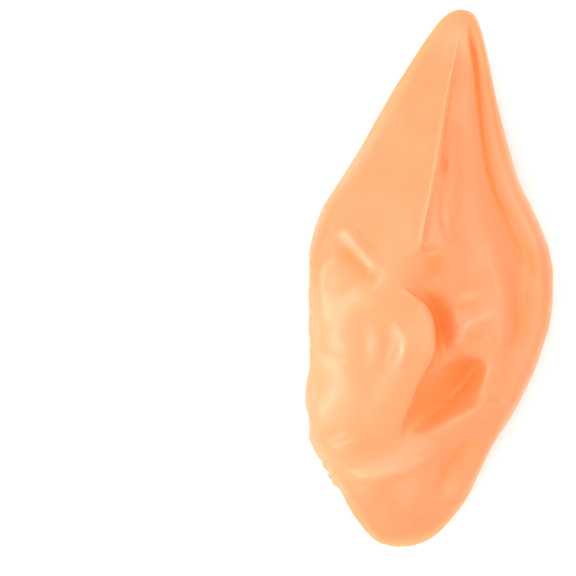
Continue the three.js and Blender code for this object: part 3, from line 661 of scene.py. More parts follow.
PATH_POINTS = 48


# %% The shape of a fold
def smooth_path(corners):
    """A curve through the corners of a path, in metres."""
    corners = np.array(corners) * (EAR_WIDTH, EAR_LENGTH)
    padded = np.vstack([2 * corners[0] - corners[1], corners, 2 * corners[-1] - corners[-2]])
    place = np.linspace(0, len(corners) - 1, PATH_POINTS)
    i = np.minimum(place.astype(int), len(corners) - 2)
    s = (place - i)[:, None]
    leaving = (padded[i + 2] - padded[i]) / 2
    arriving = (padded[i + 3] - padded[i + 1]) / 2
    return hermite(padded[i + 1], leaving, padded[i + 2], arriving, s)


def path_share(x, y, left, right, taper, corners):
    """1 on a path, falling off in a bell on either side and towards its ends."""
    path = smooth_path(corners)
    reach = FOLD_REACH * max(left, right) * EAR_WIDTH
    near = (x > path[:, 0].min() - reach) & (x < path[:, 0].max() + reach)
    near &= (y > path[:, 1].min() - reach) & (y < path[:, 1].max() + reach)
    place = np.stack([x[near], y[near]], -1)
    nearest = np.full(len(place), np.inf)
    width = np.full(len(place), left)
    done = np.zeros(len(place))
    for i in range(PATH_POINTS - 1):
        step = path[i + 1] - path[i]
        off = place - path[i]
        part = np.clip(off @ step / (step @ step), 0, 1)
        away = np.linalg.norm(off - part[:, None] * step, axis=1)
        closer = away < nearest
        side = step[0] * off[:, 1] - step[1] * off[:, 0]
        nearest = np.where(closer, away, nearest)
        width = np.where(closer, np.where(side > 0, left, right), width)
        done = np.where(closer, (i + part) / (PATH_POINTS - 1), done)
    bell = np.exp(-((nearest / (width * EAR_WIDTH)) ** 2))
    share = np.zeros(x.shape)
    share[near] = bell * smooth(np.minimum(done, 1 - done) / taper)
    return share


# %% [markdown]
# Hand-cast latex is never quite even. A few broad lumps and dips lie on the cheek, the flap, the bowl
# and the rim, and a slow ripple of under a third of a millimetre keeps the big planes from looking
# machined.

# %% Lumps and ripples
# name, side, across, along, radius across, radius along, height in millimetres
LUMPS = [
    ("pad at the cut edge", "front", -0.432, -0.146, 0.036, 0.018, 0.3),
    ("ring of the cheek", "front", -0.335, -0.150, 0.040, 0.018, 0.25),
    ("pad under the crease", "front", -0.265, -0.044, 0.056, 0.018, 0.2),
    ("dip of the jaw", "front", -0.400, -0.295, 0.070, 0.024, -0.4),
    ("pad of the jaw", "front", -0.270, -0.300, 0.050, 0.020, 0.5),
    ("dent high on the flap", "front", -0.010, 0.280, 0.050, 0.030, -0.35),
    ("dent of the flap", "front", -0.160, 0.090, 0.070, 0.040, -0.3),
    ("swell of the flap", "front", -0.110, 0.170, 0.080, 0.060, 0.3),
    ("dip of the bowl", "inside", 0.150, -0.018, 0.050, 0.020, -0.7),
    ("knuckle by the crevice", "inside", 0.110, -0.122, 0.045, 0.014, 0.3),
    ("dent of the rim", "inside", 0.440, -0.060, 0.040, 0.060, -0.25),
    ("pad of the lobe", "both", -0.060, -0.450, 0.090, 0.035, 0.4),
]
# waves: length across and along in millimetres, height in millimetres, where it starts
RIPPLES = [
    (17.0, 23.0, 0.09, 0.3),
    (11.0, -15.0, 0.045, 1.9),
    (-7.3, 9.1, 0.014, 4.2),
    (5.1, 6.3, 0.005, 2.6),
]


def lump_share(x, y, across, along, radius_across, radius_along):
    dx = (x / EAR_WIDTH - across) / radius_across
    dy = (y / EAR_LENGTH - along) / radius_along
    return np.exp(-(dx * dx + dy * dy))


def ripple_lift(x, y):
    waves = [
        height * np.sin(2 * np.pi * (x / MM / across + y / MM / along) + start)
        for across, along, height, start in RIPPLES
    ]
    return sum(waves) * MM


# %% The outer skin
# folds fade out over this many steps from the outline, and over this share of the length at both ends
EDGE_FADE_STEPS = 9
END_FADE = 0.03


def outer_skin(count):
    """The top and underside curves at each station, with every fold on the top."""
    along = stations(count)
    top = section_curves(TOP_LINES, along, 1)
    under = section_curves(UNDER_LINES, along, -1)
    x, y = top[..., 0], np.repeat(along[:, None] * EAR_LENGTH, top.shape[1], 1)
    index = np.arange(top.shape[1])[None, :].repeat(count, 0)
    on = {"front": index <= FREE_EDGE_INDEX, "inside": index > FREE_EDGE_INDEX, "both": index >= 0}
    lift = ripple_lift(x, y)
    for _, side, left, right, height, taper, path in FOLDS:
        lift += np.where(on[side], height * MM * path_share(x, y, left, right, taper, path), 0)
    for _, side, *lump, height in LUMPS:
        lift += np.where(on[side], height * MM * lump_share(x, y, *lump), 0)
    from_edge = np.minimum(index, top.shape[1] - 1 - index)
    end_fade = smooth((0.5 - np.abs(along)) / END_FADE)[:, None]
    top[..., 1] += lift * np.clip(from_edge / EDGE_FADE_STEPS, 0, 1) * end_fade
    return along * EAR_LENGTH, top, under


STATIONS = 330
skin_y, skin_top, skin_under = outer_skin(STATIONS)
print(f"Highest point of the skin: {skin_top[..., 1].max() / MM:.2f} mm, CAD {BOX_DEPTH / MM:.2f} mm")


# %% [markdown]
# ## The hollow
#
# Moving every point in by a wall's thickness along its normal would make the skin cross itself at each
# crease. So the hollow is found the way a ball would feel it: a ball laid on every point of the outer
# skin reaches one wall deep into it, and the hollow is whatever no ball touches. On a grid of heights
# this is one "lowest of all shifted copies" step, and it rounds the inside of each crease by itself.

# %% Height maps of the skin
CELL = 0.25 * MM
GRID_X = np.arange(-EAR_WIDTH / 2 - 2 * MM, EAR_WIDTH / 2 + 2 * MM, CELL)
GRID_Y = np.arange(-EAR_LENGTH / 2 - 2 * MM, EAR_LENGTH / 2 + 2 * MM, CELL)


def height_map(curves, pick, empty):
    """The lowest or highest height of the curves' points in each cell."""
    heights = np.full((len(GRID_Y), len(GRID_X)), empty)
    column = np.rint((curves[..., 0] - GRID_X[0]) / CELL).astype(int)
    row = np.rint((np.repeat(skin_y[:, None], curves.shape[1], 1) - GRID_Y[0]) / CELL).astype(int)
    pick.at(heights, (row.ravel(), column.ravel()), curves[..., 1].ravel())
    return heights


def shifted(heights, rows, columns, empty):
    """The map moved by whole cells, with empty cells coming in at the edge."""
    moved = np.full_like(heights, empty)
    n, m = heights.shape
    target_rows = slice(max(rows, 0), n + min(rows, 0))
    target_columns = slice(max(columns, 0), m + min(columns, 0))
    source_rows = slice(max(-rows, 0), n + min(-rows, 0))
    source_columns = slice(max(-columns, 0), m + min(-columns, 0))
    moved[target_rows, target_columns] = heights[source_rows, source_columns]
    return moved


def ball_limit(heights, radius, pick, empty, sign):
    """What balls laid on the skin leave free: below them for the roof, above them for the ground."""
    limit = np.full_like(heights, empty)
    reach = int(radius / CELL)
    for rows in range(-reach, reach + 1):
        for columns in range(-reach, reach + 1):
            room = radius**2 - (rows * rows + columns * columns) * CELL**2
            if room > 0:
                offset = sign * ((radius - WALL) - math.sqrt(room))
                pick(limit, shifted(heights, rows, columns, empty) + offset, out=limit)
    return limit


BALL_RADIUS = 2.3 * MM
FAR = 1.0
roof_map = ball_limit(height_map(skin_top, np.minimum, FAR), BALL_RADIUS, np.minimum, FAR, 1)
ground_map = ball_limit(height_map(skin_under, np.maximum, -FAR), BALL_RADIUS, np.maximum, -FAR, -1)
print(f"Height maps of {roof_map.shape[1]} by {roof_map.shape[0]} cells")


# %% The hollow's own sections
def at_places(heights, x, y):
    """A height map read between its cells."""
    column = np.clip((x - GRID_X[0]) / CELL, 0, len(GRID_X) - 1.001)
    row = np.clip((y - GRID_Y[0]) / CELL, 0, len(GRID_Y) - 1.001)
    i, j = row.astype(int), column.astype(int)
    v, u = row - i, column - j
    upper = heights[i, j] * (1 - u) + heights[i, j + 1] * u
    lower = heights[i + 1, j] * (1 - u) + heights[i + 1, j + 1] * u
    return upper * (1 - v) + lower * v


def section_ends(y):
    """Where the skin's outline lies at one place along the ear, in front and at the rear."""
    along = np.array([y / EAR_LENGTH])
    return front_line(along)[0, 0], rear_line(along)[0, 0]


def hollow_span(y):
    """The widest stretch of a section where the hollow is at least half a wall high."""
    front, rear = section_ends(y)
    x = np.linspace(front + WALL / 2, rear - WALL / 2, 900)
    level = np.full_like(x, y)
    open_here = at_places(roof_map, x, level) - at_places(ground_map, x, level) > WALL / 2
    edges = np.flatnonzero(np.diff(np.concatenate([[0], open_here.astype(int), [0]])))
    if len(edges) == 0:
        return None
    starts, ends = edges[::2], edges[1::2] - 1
    widest = np.argmax(ends - starts)
    return x[starts[widest]], x[ends[widest]]


def evened(values, rounds=3):
    """A list of numbers with its smallest jumps evened out."""
    values = np.array(values)
    for _ in range(rounds):
        values[1:-1] = (values[:-2] + 2 * values[1:-1] + values[2:]) / 4
    return values


HOLLOW_STATIONS = 150
ROOF_STEPS = 76
GROUND_STEPS = 36


def hollow_rings():
    """Closed sections of the hollow, each from the front over the roof and back along the ground."""
    found = [(y, hollow_span(y)) for y in stations(HOLLOW_STATIONS) * (EAR_LENGTH - 2 * WALL)]
    found = [(y, span) for y, span in found if span and span[1] - span[0] > WALL]
    starts, ends = evened([s[0] for _, s in found]), evened([s[1] for _, s in found])
    roof_share = (1 - np.cos(np.linspace(0, np.pi, ROOF_STEPS + 1))) / 2
    ground_share = np.linspace(1, 0, GROUND_STEPS + 1)
    rings = []
    for (y, _), start, end in zip(found, starts, ends):
        roof_x = start + (end - start) * roof_share
        ground_x = start + (end - start) * ground_share
        under_roof = at_places(ground_map, roof_x, np.full_like(roof_x, y))
        roof_z = np.maximum(at_places(roof_map, roof_x, np.full_like(roof_x, y)), under_roof + 0.1 * MM)
        ground_z = at_places(ground_map, ground_x, np.full_like(ground_x, y))
        x, z = np.concatenate([roof_x, ground_x]), np.concatenate([roof_z, ground_z])
        rings.append(np.stack([x, np.full_like(x, y), z], -1))
    return np.array(rings)


hollow = hollow_rings()
hollow_start, hollow_end = hollow[0, 0, 1] / MM, hollow[-1, 0, 1] / MM
print(f"The hollow has {len(hollow)} sections, from {hollow_start:.1f} to {hollow_end:.1f} mm")


# %% [markdown]
# ## One closed skin
#
# The outer skin and the hollow are two tubes of quads, each closed by a fan at its ends. Both run below
# the table at the mouth. Cutting them level there leaves two loops of open edges, one inside the other,
# and filling the ring between them makes the flat rim of the mouth.

# %% Tubes of quads
def tube(rings, first_pole, last_pole, inward):
    """Points and faces of a closed tube through rings of equal length."""
    count, around = rings.shape[:2]
    points = np.vstack([rings.reshape(-1, 3), first_pole, last_pole])
    first, last = count * around, count * around + 1
    faces = []
    for r in range(count - 1):
        for k in range(around):
            a, b = r * around + k, r * around + (k + 1) % around
            faces.append((a, b, b + around, a + around))
    base = (count - 1) * around
    for k in range(around):
        faces.append((first, (k + 1) % around, k))
        faces.append((last, base + k, base + (k + 1) % around))
    if inward:
        faces = [face[::-1] for face in faces]
    return points, faces


def outer_rings():
    curves = np.concatenate([skin_top, skin_under[:, 1:-1]], 1)
    y = np.repeat(skin_y[:, None], curves.shape[1], 1)
    return np.stack([curves[..., 0], y, curves[..., 1]], -1)


outer_points, outer_faces = tube(
    outer_rings(),
    (LOBE_ACROSS * EAR_WIDTH, -EAR_LENGTH / 2, LOBE_HIGH * EAR_DEPTH),
    (TIP_ACROSS * EAR_WIDTH, EAR_LENGTH / 2, TIP_HIGH * EAR_DEPTH),
    inward=False,
)
inner_points, inner_faces = tube(hollow, hollow[0].mean(0), hollow[-1].mean(0), inward=True)


# %% Cut level at the table and close the rim
def latex_skin():
    """Joins both tubes, cuts them at the table and fills the rim of the mouth."""
    mesh = bpy.data.meshes.new("ear_skin")
    shift = len(outer_points)
    faces = outer_faces + [tuple(i + shift for i in face) for face in inner_faces]
    mesh.from_pydata(np.vstack([outer_points, inner_points]).tolist(), [], faces)
    for i, polygon in enumerate(mesh.polygons):
        polygon.material_index = int(i >= len(outer_faces))
    work = bmesh.new()
    work.from_mesh(mesh)
    everything = list(work.verts) + list(work.edges) + list(work.faces)
    bmesh.ops.bisect_plane(
        work, geom=everything, dist=1e-7, plane_co=(0, 0, 0), plane_no=(0, 0, 1), clear_inner=True
    )
    open_edges = [edge for edge in work.edges if edge.is_boundary]
    rim = bmesh.ops.triangle_fill(work, edges=open_edges, use_beauty=True, normal=(0, 0, -1))
    rim_faces = [face for face in rim["geom"] if isinstance(face, bmesh.types.BMFace)]
    for face in work.faces:
        face.smooth = True
    for face in rim_faces:
        face.smooth = False
        face.material_index = 0
    bmesh.ops.recalc_face_normals(work, faces=work.faces[:])
    still_open = sum(edge.is_boundary for edge in work.edges)
    work.to_mesh(mesh)
    work.free()
    mesh.update()
    print(f"The skin has {len(mesh.polygons)} faces, {len(rim_faces)} in the rim, {still_open} open edges")
    skin = bpy.data.objects.new("ear_skin", mesh)
    bpy.context.scene.collection.objects.link(skin)
    return skin


ear_skin = latex_skin()


# %% [markdown]
# ## What the rubber needs to know
#
# Latex is slightly see-through. Where the skin is thin, beside the cut edge, it looks pale and yellow.
# In a crease light bounces from wall to wall and comes back a deeper orange, and a crest catches the
# light and looks pale. The renderer works out a part of that by itself, and the rest is painted light and
# shade in the colour. Five values stored on the points carry it: "crease" says how far a place lies below
# the skin around it and paints shade there, "pale" and "deep" come from strokes and round patches along
# the folds that paint highlights and shade, in a few places only a paler or darker tone, "inner" marks all
# that lies behind the free edge, which gets painted shade, and "thin" the skin beside the cut edge.
#
# Vertex paint would do as well, but strokes kept in a table stay on their folds when a size changes.

# %% Where painted light and painted shade lie
# a strength above 0 paints light and one below 0 paints shade, in a few places only a paler or darker tone
# name, side, left width, right width, strength, taper, points of the path (across, along)
STROKES = [
    ("painted light along the free edge", "front", 0.010, 0.008, 0.5, 0.1,
     [(0.126, 0.452), (0.085, 0.376), (0.052, 0.302), (0.024, 0.228), (-0.004, 0.160),
      (-0.034, 0.096), (-0.048, 0.050)]),
    ("painted highlight on the pinch wall", "front", 0.013, 0.014, 0.9, 0.25,
     [(-0.362, 0.092), (-0.352, 0.084), (-0.302, 0.058), (-0.249, 0.029), (-0.229, 0.014)]),
    ("shade under the pinch", "front", 0.016, 0.034, -1.0, 0.3,
     [(-0.356, 0.064), (-0.334, 0.046), (-0.284, 0.026), (-0.240, 0.006), (-0.190, -0.016)]),
    ("shade above the pinch", "front", 0.030, 0.020, -0.45, 0.3,
     [(-0.318, 0.094), (-0.270, 0.066), (-0.235, 0.042)]),
    ("light on the tragus", "front", 0.012, 0.012, 1.0, 0.3,
     [(-0.148, -0.086), (-0.111, -0.112), (-0.119, -0.138), (-0.140, -0.156)]),
    ("light on the arc", "front", 0.014, 0.014, 0.3, 0.3,
     [(-0.253, -0.080), (-0.225, -0.104), (-0.225, -0.138), (-0.245, -0.156)]),
    ("band of the jaw", "both", 0.060, 0.040, 0.45, 0.25,
     [(-0.330, -0.362), (-0.200, -0.354), (-0.110, -0.336), (-0.020, -0.306)]),
    ("line of the jaw", "both", 0.016, 0.016, 0.4, 0.2,
     [(-0.310, -0.373), (-0.196, -0.360), (-0.103, -0.354), (-0.055, -0.341), (0.055, -0.315)]),
    ("shade of the lobe", "inside", 0.040, 0.060, -0.45, 0.3,
     [(-0.010, -0.392), (0.060, -0.350), (0.099, -0.335), (0.150, -0.318), (0.196, -0.298)]),
    ("painted shade of the groove", "inside", 0.026, 0.009, -0.8, 0.12,
     [(0.150, 0.470), (0.164, 0.450), (0.188, 0.348), (0.211, 0.247), (0.241, 0.173),
      (0.302, 0.117), (0.342, 0.071), (0.400, 0.028), (0.430, -0.010)]),
    ("shade beside the crest", "inside", 0.034, 0.034, -0.45, 0.25,
     [(0.300, 0.045), (0.362, 0.020), (0.380, -0.030), (0.375, -0.092), (0.350, -0.156)]),
    ("light of the rim", "inside", 0.040, 0.040, 0.28, 0.3,
     [(0.260, 0.260), (0.310, 0.200), (0.366, 0.140), (0.430, 0.070), (0.462, 0.010)]),
    ("painted shade of the bowl", "inside", 0.050, 0.060, -0.5, 0.25,
     [(0.040, -0.172), (0.100, -0.168), (0.150, -0.174), (0.100, -0.210), (0.030, -0.232),
      (-0.020, -0.250), (-0.085, -0.290)]),
    ("painted shade along the bowl's bottom", "inside", 0.020, 0.020, -0.6, 0.15,
     [(-0.075, -0.287), (0.022, -0.243), (0.070, -0.225), (0.130, -0.199), (0.148, -0.185),
      (0.158, -0.168)]),
    ("painted shade at the crevice's foot", "inside", 0.018, 0.018, -0.5, 0.25,
     [(0.030, -0.070), (0.037, -0.090), (0.042, -0.120), (0.050, -0.145)]),
    ("painted shade line of the ledge", "inside", 0.009, 0.009, -0.8, 0.25,
     [(-0.050, 0.054), (-0.020, 0.053), (0.010, 0.052), (0.038, 0.050)]),
    ("light of the upper fold", "inside", 0.018, 0.018, 0.35, 0.3,
     [(0.110, -0.095), (0.190, -0.076), (0.270, -0.058)]),
    ("light of the lower fold", "inside", 0.018, 0.018, 0.3, 0.3,
     [(0.050, -0.126), (0.100, -0.115), (0.158, -0.102)]),
    ("painted shade line above the folds", "inside", 0.018, 0.018, -0.4, 0.3,
     [(0.050, -0.061), (0.130, -0.053), (0.240, -0.036)]),
    ("painted shade of the crevice", "inside", 0.030, 0.030, -0.35, 0.25,
     [(-0.040, -0.040), (0.000, -0.060), (0.026, -0.095), (0.036, -0.136)]),
    ("light on the crest", "inside", 0.024, 0.024, 0.1, 0.2,
     [(0.196, 0.052), (0.281, -0.003), (0.285, -0.077), (0.245, -0.160), (0.216, -0.225)]),
]
# round patches of painted light and painted shade, a few of them only a paler or darker tone
# name, side, across, along, radius across, radius along, strength
PATCHES = [
    ("glint above the tragus", "front", -0.075, -0.026, 0.022, 0.006, 1.0),
    ("shade under the glint", "front", -0.040, -0.040, 0.040, 0.008, -0.5),
    ("recess", "inside", 0.022, 0.016, 0.045, 0.024, -1.0),
    ("shade between the folds", "inside", 0.190, -0.116, 0.055, 0.011, -0.45),
    ("nick", "inside", 0.055, 0.204, 0.014, 0.022, -0.6),
    ("spot of the cheek", "front", -0.433, -0.147, 0.020, 0.009, 0.7),
    ("light of the pouch", "front", -0.365, -0.222, 0.080, 0.034, 0.5),
    ("light of the cheek", "front", -0.350, -0.100, 0.090, 0.060, 0.25),
    ("light under the crease", "front", -0.266, -0.044, 0.045, 0.014, 0.35),
    ("shade of the jaw", "front", -0.376, -0.297, 0.085, 0.016, -0.35),
    ("floor of the lobe", "both", -0.120, -0.415, 0.120, 0.050, -0.2),
    ("end of the groove", "inside", 0.400, 0.026, 0.045, 0.024, -0.5),
    ("light of the tip", "both", 0.080, 0.450, 0.080, 0.040, 0.5),
]
# the painted shade behind the free edge comes in over this width, and fades out towards the tip
INNER_BLEND = 3.5 * MM
INNER_TOP, INNER_FADE = 0.47, 0.16
# towards the jaw the change across the free edge gets this much softer, from this place on
JAW_SOFTENS, JAW_TOP, JAW_RAMP = 14 * MM, -0.27, 0.06
# the edge of the jaw: along at the middle, slant, width of the change below it
JAW_ALONG, JAW_SLANT, JAW_BLEND = -0.335, 0.16, 0.03
# the lines are read no nearer to the tip and the lobe than this
LAST_PLACE = 0.49

# %% Crease and thinness on the points
def blurred(heights, radius):
    """A map smoothed by a bell of the given radius, one direction after the other."""
    reach = int(2.5 * radius / CELL)
    weights = np.exp(-((np.arange(-reach, reach + 1) * CELL / radius) ** 2))
    weights /= weights.sum()
    for axis in (0, 1):
        heights = np.apply_along_axis(lambda line: np.convolve(line, weights, "same"), axis, heights)
    return heights


def crease_map(radius):
    """How far each place lies below the skin around it."""
    heights = height_map(skin_top, np.maximum, -FAR)
    known = heights > -FAR
    filled = np.where(known, heights, 0)
    share = blurred(known.astype(float), radius)
    around = blurred(filled, radius) / np.maximum(share, 1e-3)
    return np.where(known, around - heights, 0)


def store(mesh, name, values):
    attribute = mesh.attributes.new(name, "FLOAT", "POINT")
    attribute.data.foreach_set("value", np.asarray(values, np.float32))


def painted_light_and_shade(x, y):
    """Painted light (above 0) or painted shade (below 0) at each place, and how far inside it lies."""
    behind_edge = x - free_edge_line(np.clip(y / EAR_LENGTH, -LAST_PLACE, LAST_PLACE))[:, 0]
    on = {"front": behind_edge <= 0, "inside": behind_edge > 0, "both": np.full(x.shape, True)}
    total = np.zeros(x.shape)
    for _, side, left, right, strength, taper, path in STROKES:
        total += np.where(on[side], strength * path_share(x, y, left, right, taper, path), 0)
    for _, side, *patch, strength in PATCHES:
        total += np.where(on[side], strength * lump_share(x, y, *patch), 0)
    along = y / EAR_LENGTH
    soften = JAW_SOFTENS * smooth((JAW_TOP - along) / JAW_RAMP)
    past_edge = smooth(behind_edge / (INNER_BLEND + soften) + 0.5 * soften / JAW_SOFTENS)
    below_jaw = JAW_ALONG + JAW_SLANT * x / EAR_WIDTH - along
    behind = np.maximum(past_edge, smooth(below_jaw / JAW_BLEND))
    return np.clip(total, -1, 1), behind * smooth((INNER_TOP - along) / INNER_FADE)


CREASE_RADIUS = 2.6 * MM
CREASE_FULL = 1.8 * MM
BOWL_RADIUS = 6 * MM
BOWL_FULL = 3.5 * MM
# the thin skin: its width, where it ends towards the tip and the lobe, and over what length
THIN_BAND = 0.22
THIN_TOP, THIN_TOP_FADE = 0.06, 0.14
THIN_BOTTOM, THIN_BOTTOM_FADE = -0.44, 0.12
# the outline in front gets painted shade over this width
EDGE_BAND = 0.035
EDGE_SHADE_STRENGTH = 0.7
coordinates = np.empty(len(ear_skin.data.vertices) * 3)
ear_skin.data.vertices.foreach_get("co", coordinates)
coordinates = coordinates.reshape(-1, 3)
narrow = at_places(crease_map(CREASE_RADIUS), coordinates[:, 0], coordinates[:, 1]) / CREASE_FULL
broad = at_places(crease_map(BOWL_RADIUS), coordinates[:, 0], coordinates[:, 1]) / BOWL_FULL
crease = np.clip(np.maximum(narrow, broad), 0, 1)
along_here = np.clip(coordinates[:, 1] / EAR_LENGTH, -LAST_PLACE, LAST_PLACE)
from_cut = (coordinates[:, 0] - front_line(along_here)[:, 0]) / EAR_WIDTH
below_top = smooth((THIN_TOP - along_here) / THIN_TOP_FADE)
above_lobe = smooth((along_here - THIN_BOTTOM) / THIN_BOTTOM_FADE)
thin = smooth(1 - from_cut / THIN_BAND) * (below_top * above_lobe)
edge_shade = smooth(1 - from_cut / EDGE_BAND)
painted_light_or_shade, inner = painted_light_and_shade(coordinates[:, 0], coordinates[:, 1])
store(ear_skin.data, "crease", crease)
store(ear_skin.data, "pale", np.maximum(painted_light_or_shade, 0))
store(ear_skin.data, "deep", np.maximum(-painted_light_or_shade, EDGE_SHADE_STRENGTH * edge_shade))
store(ear_skin.data, "inner", inner)
store(ear_skin.data, "thin", thin)
print(f"Crease up to {crease.max():.2f}, thin skin on {np.mean(thin > 0.2):.0%} of the points")


# %% [markdown]
# ## The latex
#
# A Principled shader with subsurface scattering gives the soft, waxy depth of cast rubber: red light
# travels furthest under the skin, so its radius is the largest. On top come painted highlights and
# painted shade in pale and deep orange, and the details of the real thing: cloudy mottling from uneven
# pigment, a satin gloss that varies from place to place, the fine grain of the mould, and a few dark
# specks caught in the casting. In a crease the gloss is duller and takes the rubber's colour, because
# what it mirrors there is the other wall.

# %% Node helpers
def new_material(name):
    material = bpy.data.materials.new(name)
    material.use_nodes = True
    return material, material.node_tree, material.node_tree.nodes["Principled BSDF"]


def add_node(tree, kind, settings=None, **inputs):
    """Adds a node, sets its plain inputs and links the rest."""
    node = tree.nodes.new(kind)
    for key, value in (settings or {}).items():
        setattr(node, key, value)
    for key, value in inputs.items():
        socket = node.inputs[int(key[1:])] if key[1:].isdigit() else node.inputs[key]
        if isinstance(value, bpy.types.NodeSocket):
            tree.links.new(value, socket)
        else:
            socket.default_value = value
    return node


def mixed(tree, share, first, second, blend="MIX"):
    """A colour mix of two colours or colour outputs."""
    node = tree.nodes.new("ShaderNodeMix")
    node.data_type, node.blend_type = "RGBA", blend
    for socket, value in ((node.inputs[0], share), (node.inputs[6], first), (node.inputs[7], second)):
        if isinstance(value, bpy.types.NodeSocket):
            tree.links.new(value, socket)
        else:
            socket.default_value = value
    return node.outputs[2]


def noise(tree, place, scale, detail=3.0, roughness=0.55):
    settings = {"noise_dimensions": "3D"}
    node = add_node(tree, "ShaderNodeTexNoise", settings, Scale=scale, Detail=detail, Roughness=roughness)
    tree.links.new(place, node.inputs["Vector"])
    return node.outputs["Fac"]


def ranged(tree, value, from_low, from_high, to_low, to_high):
    """A value moved smoothly from one range to another."""
    settings = {"interpolation_type": "SMOOTHSTEP"}
    limits = {"_1": from_low, "_2": from_high, "_3": to_low, "_4": to_high}
    return add_node(tree, "ShaderNodeMapRange", settings, _0=value, **limits).outputs[0]


def scaled(tree, name, factor):
    """A value stored on the points, times a factor."""
    stored = add_node(tree, "ShaderNodeAttribute", {"attribute_name": name}).outputs["Fac"]
    return add_node(tree, "ShaderNodeMath", {"operation": "MULTIPLY"}, _0=stored, _1=factor).outputs[0]


# %% Colours of the rubber
LATEX = (0.985, 0.282, 0.105, 1)
LATEX_THIN = (1.000, 0.360, 0.160, 1)
# painted shade in the creases
LATEX_CREASE_SHADE = (0.840, 0.350, 0.062, 1)
# painted shade and painted light of the strokes and patches
LATEX_SHADE = (0.880, 0.232, 0.046, 1)
LATEX_PAINTED_LIGHT = (1.000, 0.400, 0.210, 1)
# painted shade behind the free edge, and the same tint below the jaw
LATEX_INNER_SHADE = (0.900, 0.242, 0.086, 1)
LATEX_CLOUD_PALE = (0.990, 0.295, 0.112, 1)
LATEX_CLOUD_DEEP = (0.980, 0.270, 0.098, 1)
CREASE_REFLECTION = (0.850, 0.550, 0.120, 1)
POWDER = (0.980, 0.700, 0.460, 1)
SPECK = (0.300, 0.130, 0.060, 1)
# crease, deep and inner tint towards painted shade and pale towards painted light; thin is the thin skin's
# own colour
# value on the points, how strongly it tints the rubber, the colour that it tints towards
TINTS = [
    ("inner", 0.8, LATEX_INNER_SHADE),
    ("thin", 0.85, LATEX_THIN),
    ("crease", 0.6, LATEX_CREASE_SHADE),
    ("deep", 0.9, LATEX_SHADE),
    ("pale", 0.8, LATEX_PAINTED_LIGHT),
]
# how far red, green and blue light travel under the skin, against each other
LIGHT_REACH = (1.0, 0.36, 0.14)
CREASE_DULLS = 0.25
GRAIN_DEPTH, DIMPLE_DEPTH = 0.03 * MM, 0.08 * MM
# across, along, high, radius in millimetres
SPECKS = [
    (0.132, 0.151, 0.75, 0.22),
    (0.115, 0.127, 0.74, 0.16),
    (0.468, 0.062, 0.60, 0.20),
    (0.002, -0.321, 0.56, 0.16),
    (-0.080, 0.335, 0.66, 0.14),
    (0.300, -0.150, 0.72, 0.15),
]


# %% The finish of the face
def latex_colour(tree, place):
    """Base colour: mottled clouds, the tints of the five stored values, most of them painted light and
    shade, and specks.
    """
    clouds = ranged(tree, noise(tree, place, 55.0, 4.0), 0.36, 0.66, 0.0, 1.0)
    patches = ranged(tree, noise(tree, place, 190.0, 3.0), 0.35, 0.70, 0.0, 0.6)
    colour = mixed(tree, clouds, LATEX_CLOUD_DEEP, LATEX_CLOUD_PALE)
    colour = mixed(tree, patches, colour, LATEX)
    for name, strength, tint in TINTS:
        colour = mixed(tree, scaled(tree, name, strength), colour, tint)
    for across, along, high_share, radius in SPECKS:
        centre = (across * EAR_WIDTH, along * EAR_LENGTH, high_share * EAR_DEPTH)
        distance = add_node(tree, "ShaderNodeVectorMath", {"operation": "DISTANCE"}, _0=place, _1=centre)
        away = distance.outputs["Value"]
        spot = ranged(tree, away, 0.5 * radius * MM, 1.6 * radius * MM, 0.75, 0.0)
        colour = mixed(tree, spot, colour, SPECK)
    return colour


def latex_bump(tree, place, strength):
    """The fine grain of the mould, with shallow pits."""
    grain = noise(tree, place, 1400.0, 4.0, 0.6)
    dimples = noise(tree, place, 420.0, 3.0, 0.5)
    first = add_node(tree, "ShaderNodeBump", None, Strength=strength, Distance=GRAIN_DEPTH, Height=grain)
    second = add_node(tree, "ShaderNodeBump", None, Strength=strength, Distance=DIMPLE_DEPTH, Height=dimples)
    tree.links.new(first.outputs["Normal"], second.inputs["Normal"])
    return second.outputs["Normal"]


def latex_face():
    material, tree, shader = new_material("latex_face")
    place = add_node(tree, "ShaderNodeTexCoord").outputs["Object"]
    tree.links.new(latex_colour(tree, place), shader.inputs["Base Color"])
    satin = ranged(tree, noise(tree, place, 260.0, 3.0), 0.3, 0.7, 0.30, 0.46)
    dulling = scaled(tree, "crease", CREASE_DULLS)
    dull = add_node(tree, "ShaderNodeMath", {"operation": "ADD"}, _0=satin, _1=dulling)
    tree.links.new(dull.outputs[0], shader.inputs["Roughness"])
    tree.links.new(latex_bump(tree, place, 0.35), shader.inputs["Normal"])
    tint = mixed(tree, scaled(tree, "crease", 1.0), (1, 1, 1, 1), CREASE_REFLECTION)
    tree.links.new(tint, shader.inputs["Specular Tint"])
    shader.inputs["Subsurface Weight"].default_value = 0.65
    shader.inputs["Subsurface Radius"].default_value = LIGHT_REACH
    shader.inputs["Subsurface Scale"].default_value = 0.0032
    shader.inputs["IOR"].default_value = 1.48
    shader.inputs["Specular IOR Level"].default_value = 0.45
    shader.inputs["Coat Weight"].default_value = 0.35
    shader.inputs["Coat Roughness"].default_value = 0.18
    return material


# %% [markdown]
# Inside, the casting was dusted with powder so that the skin wouldn't stick to itself. It is a little
# paler and quite matt there.

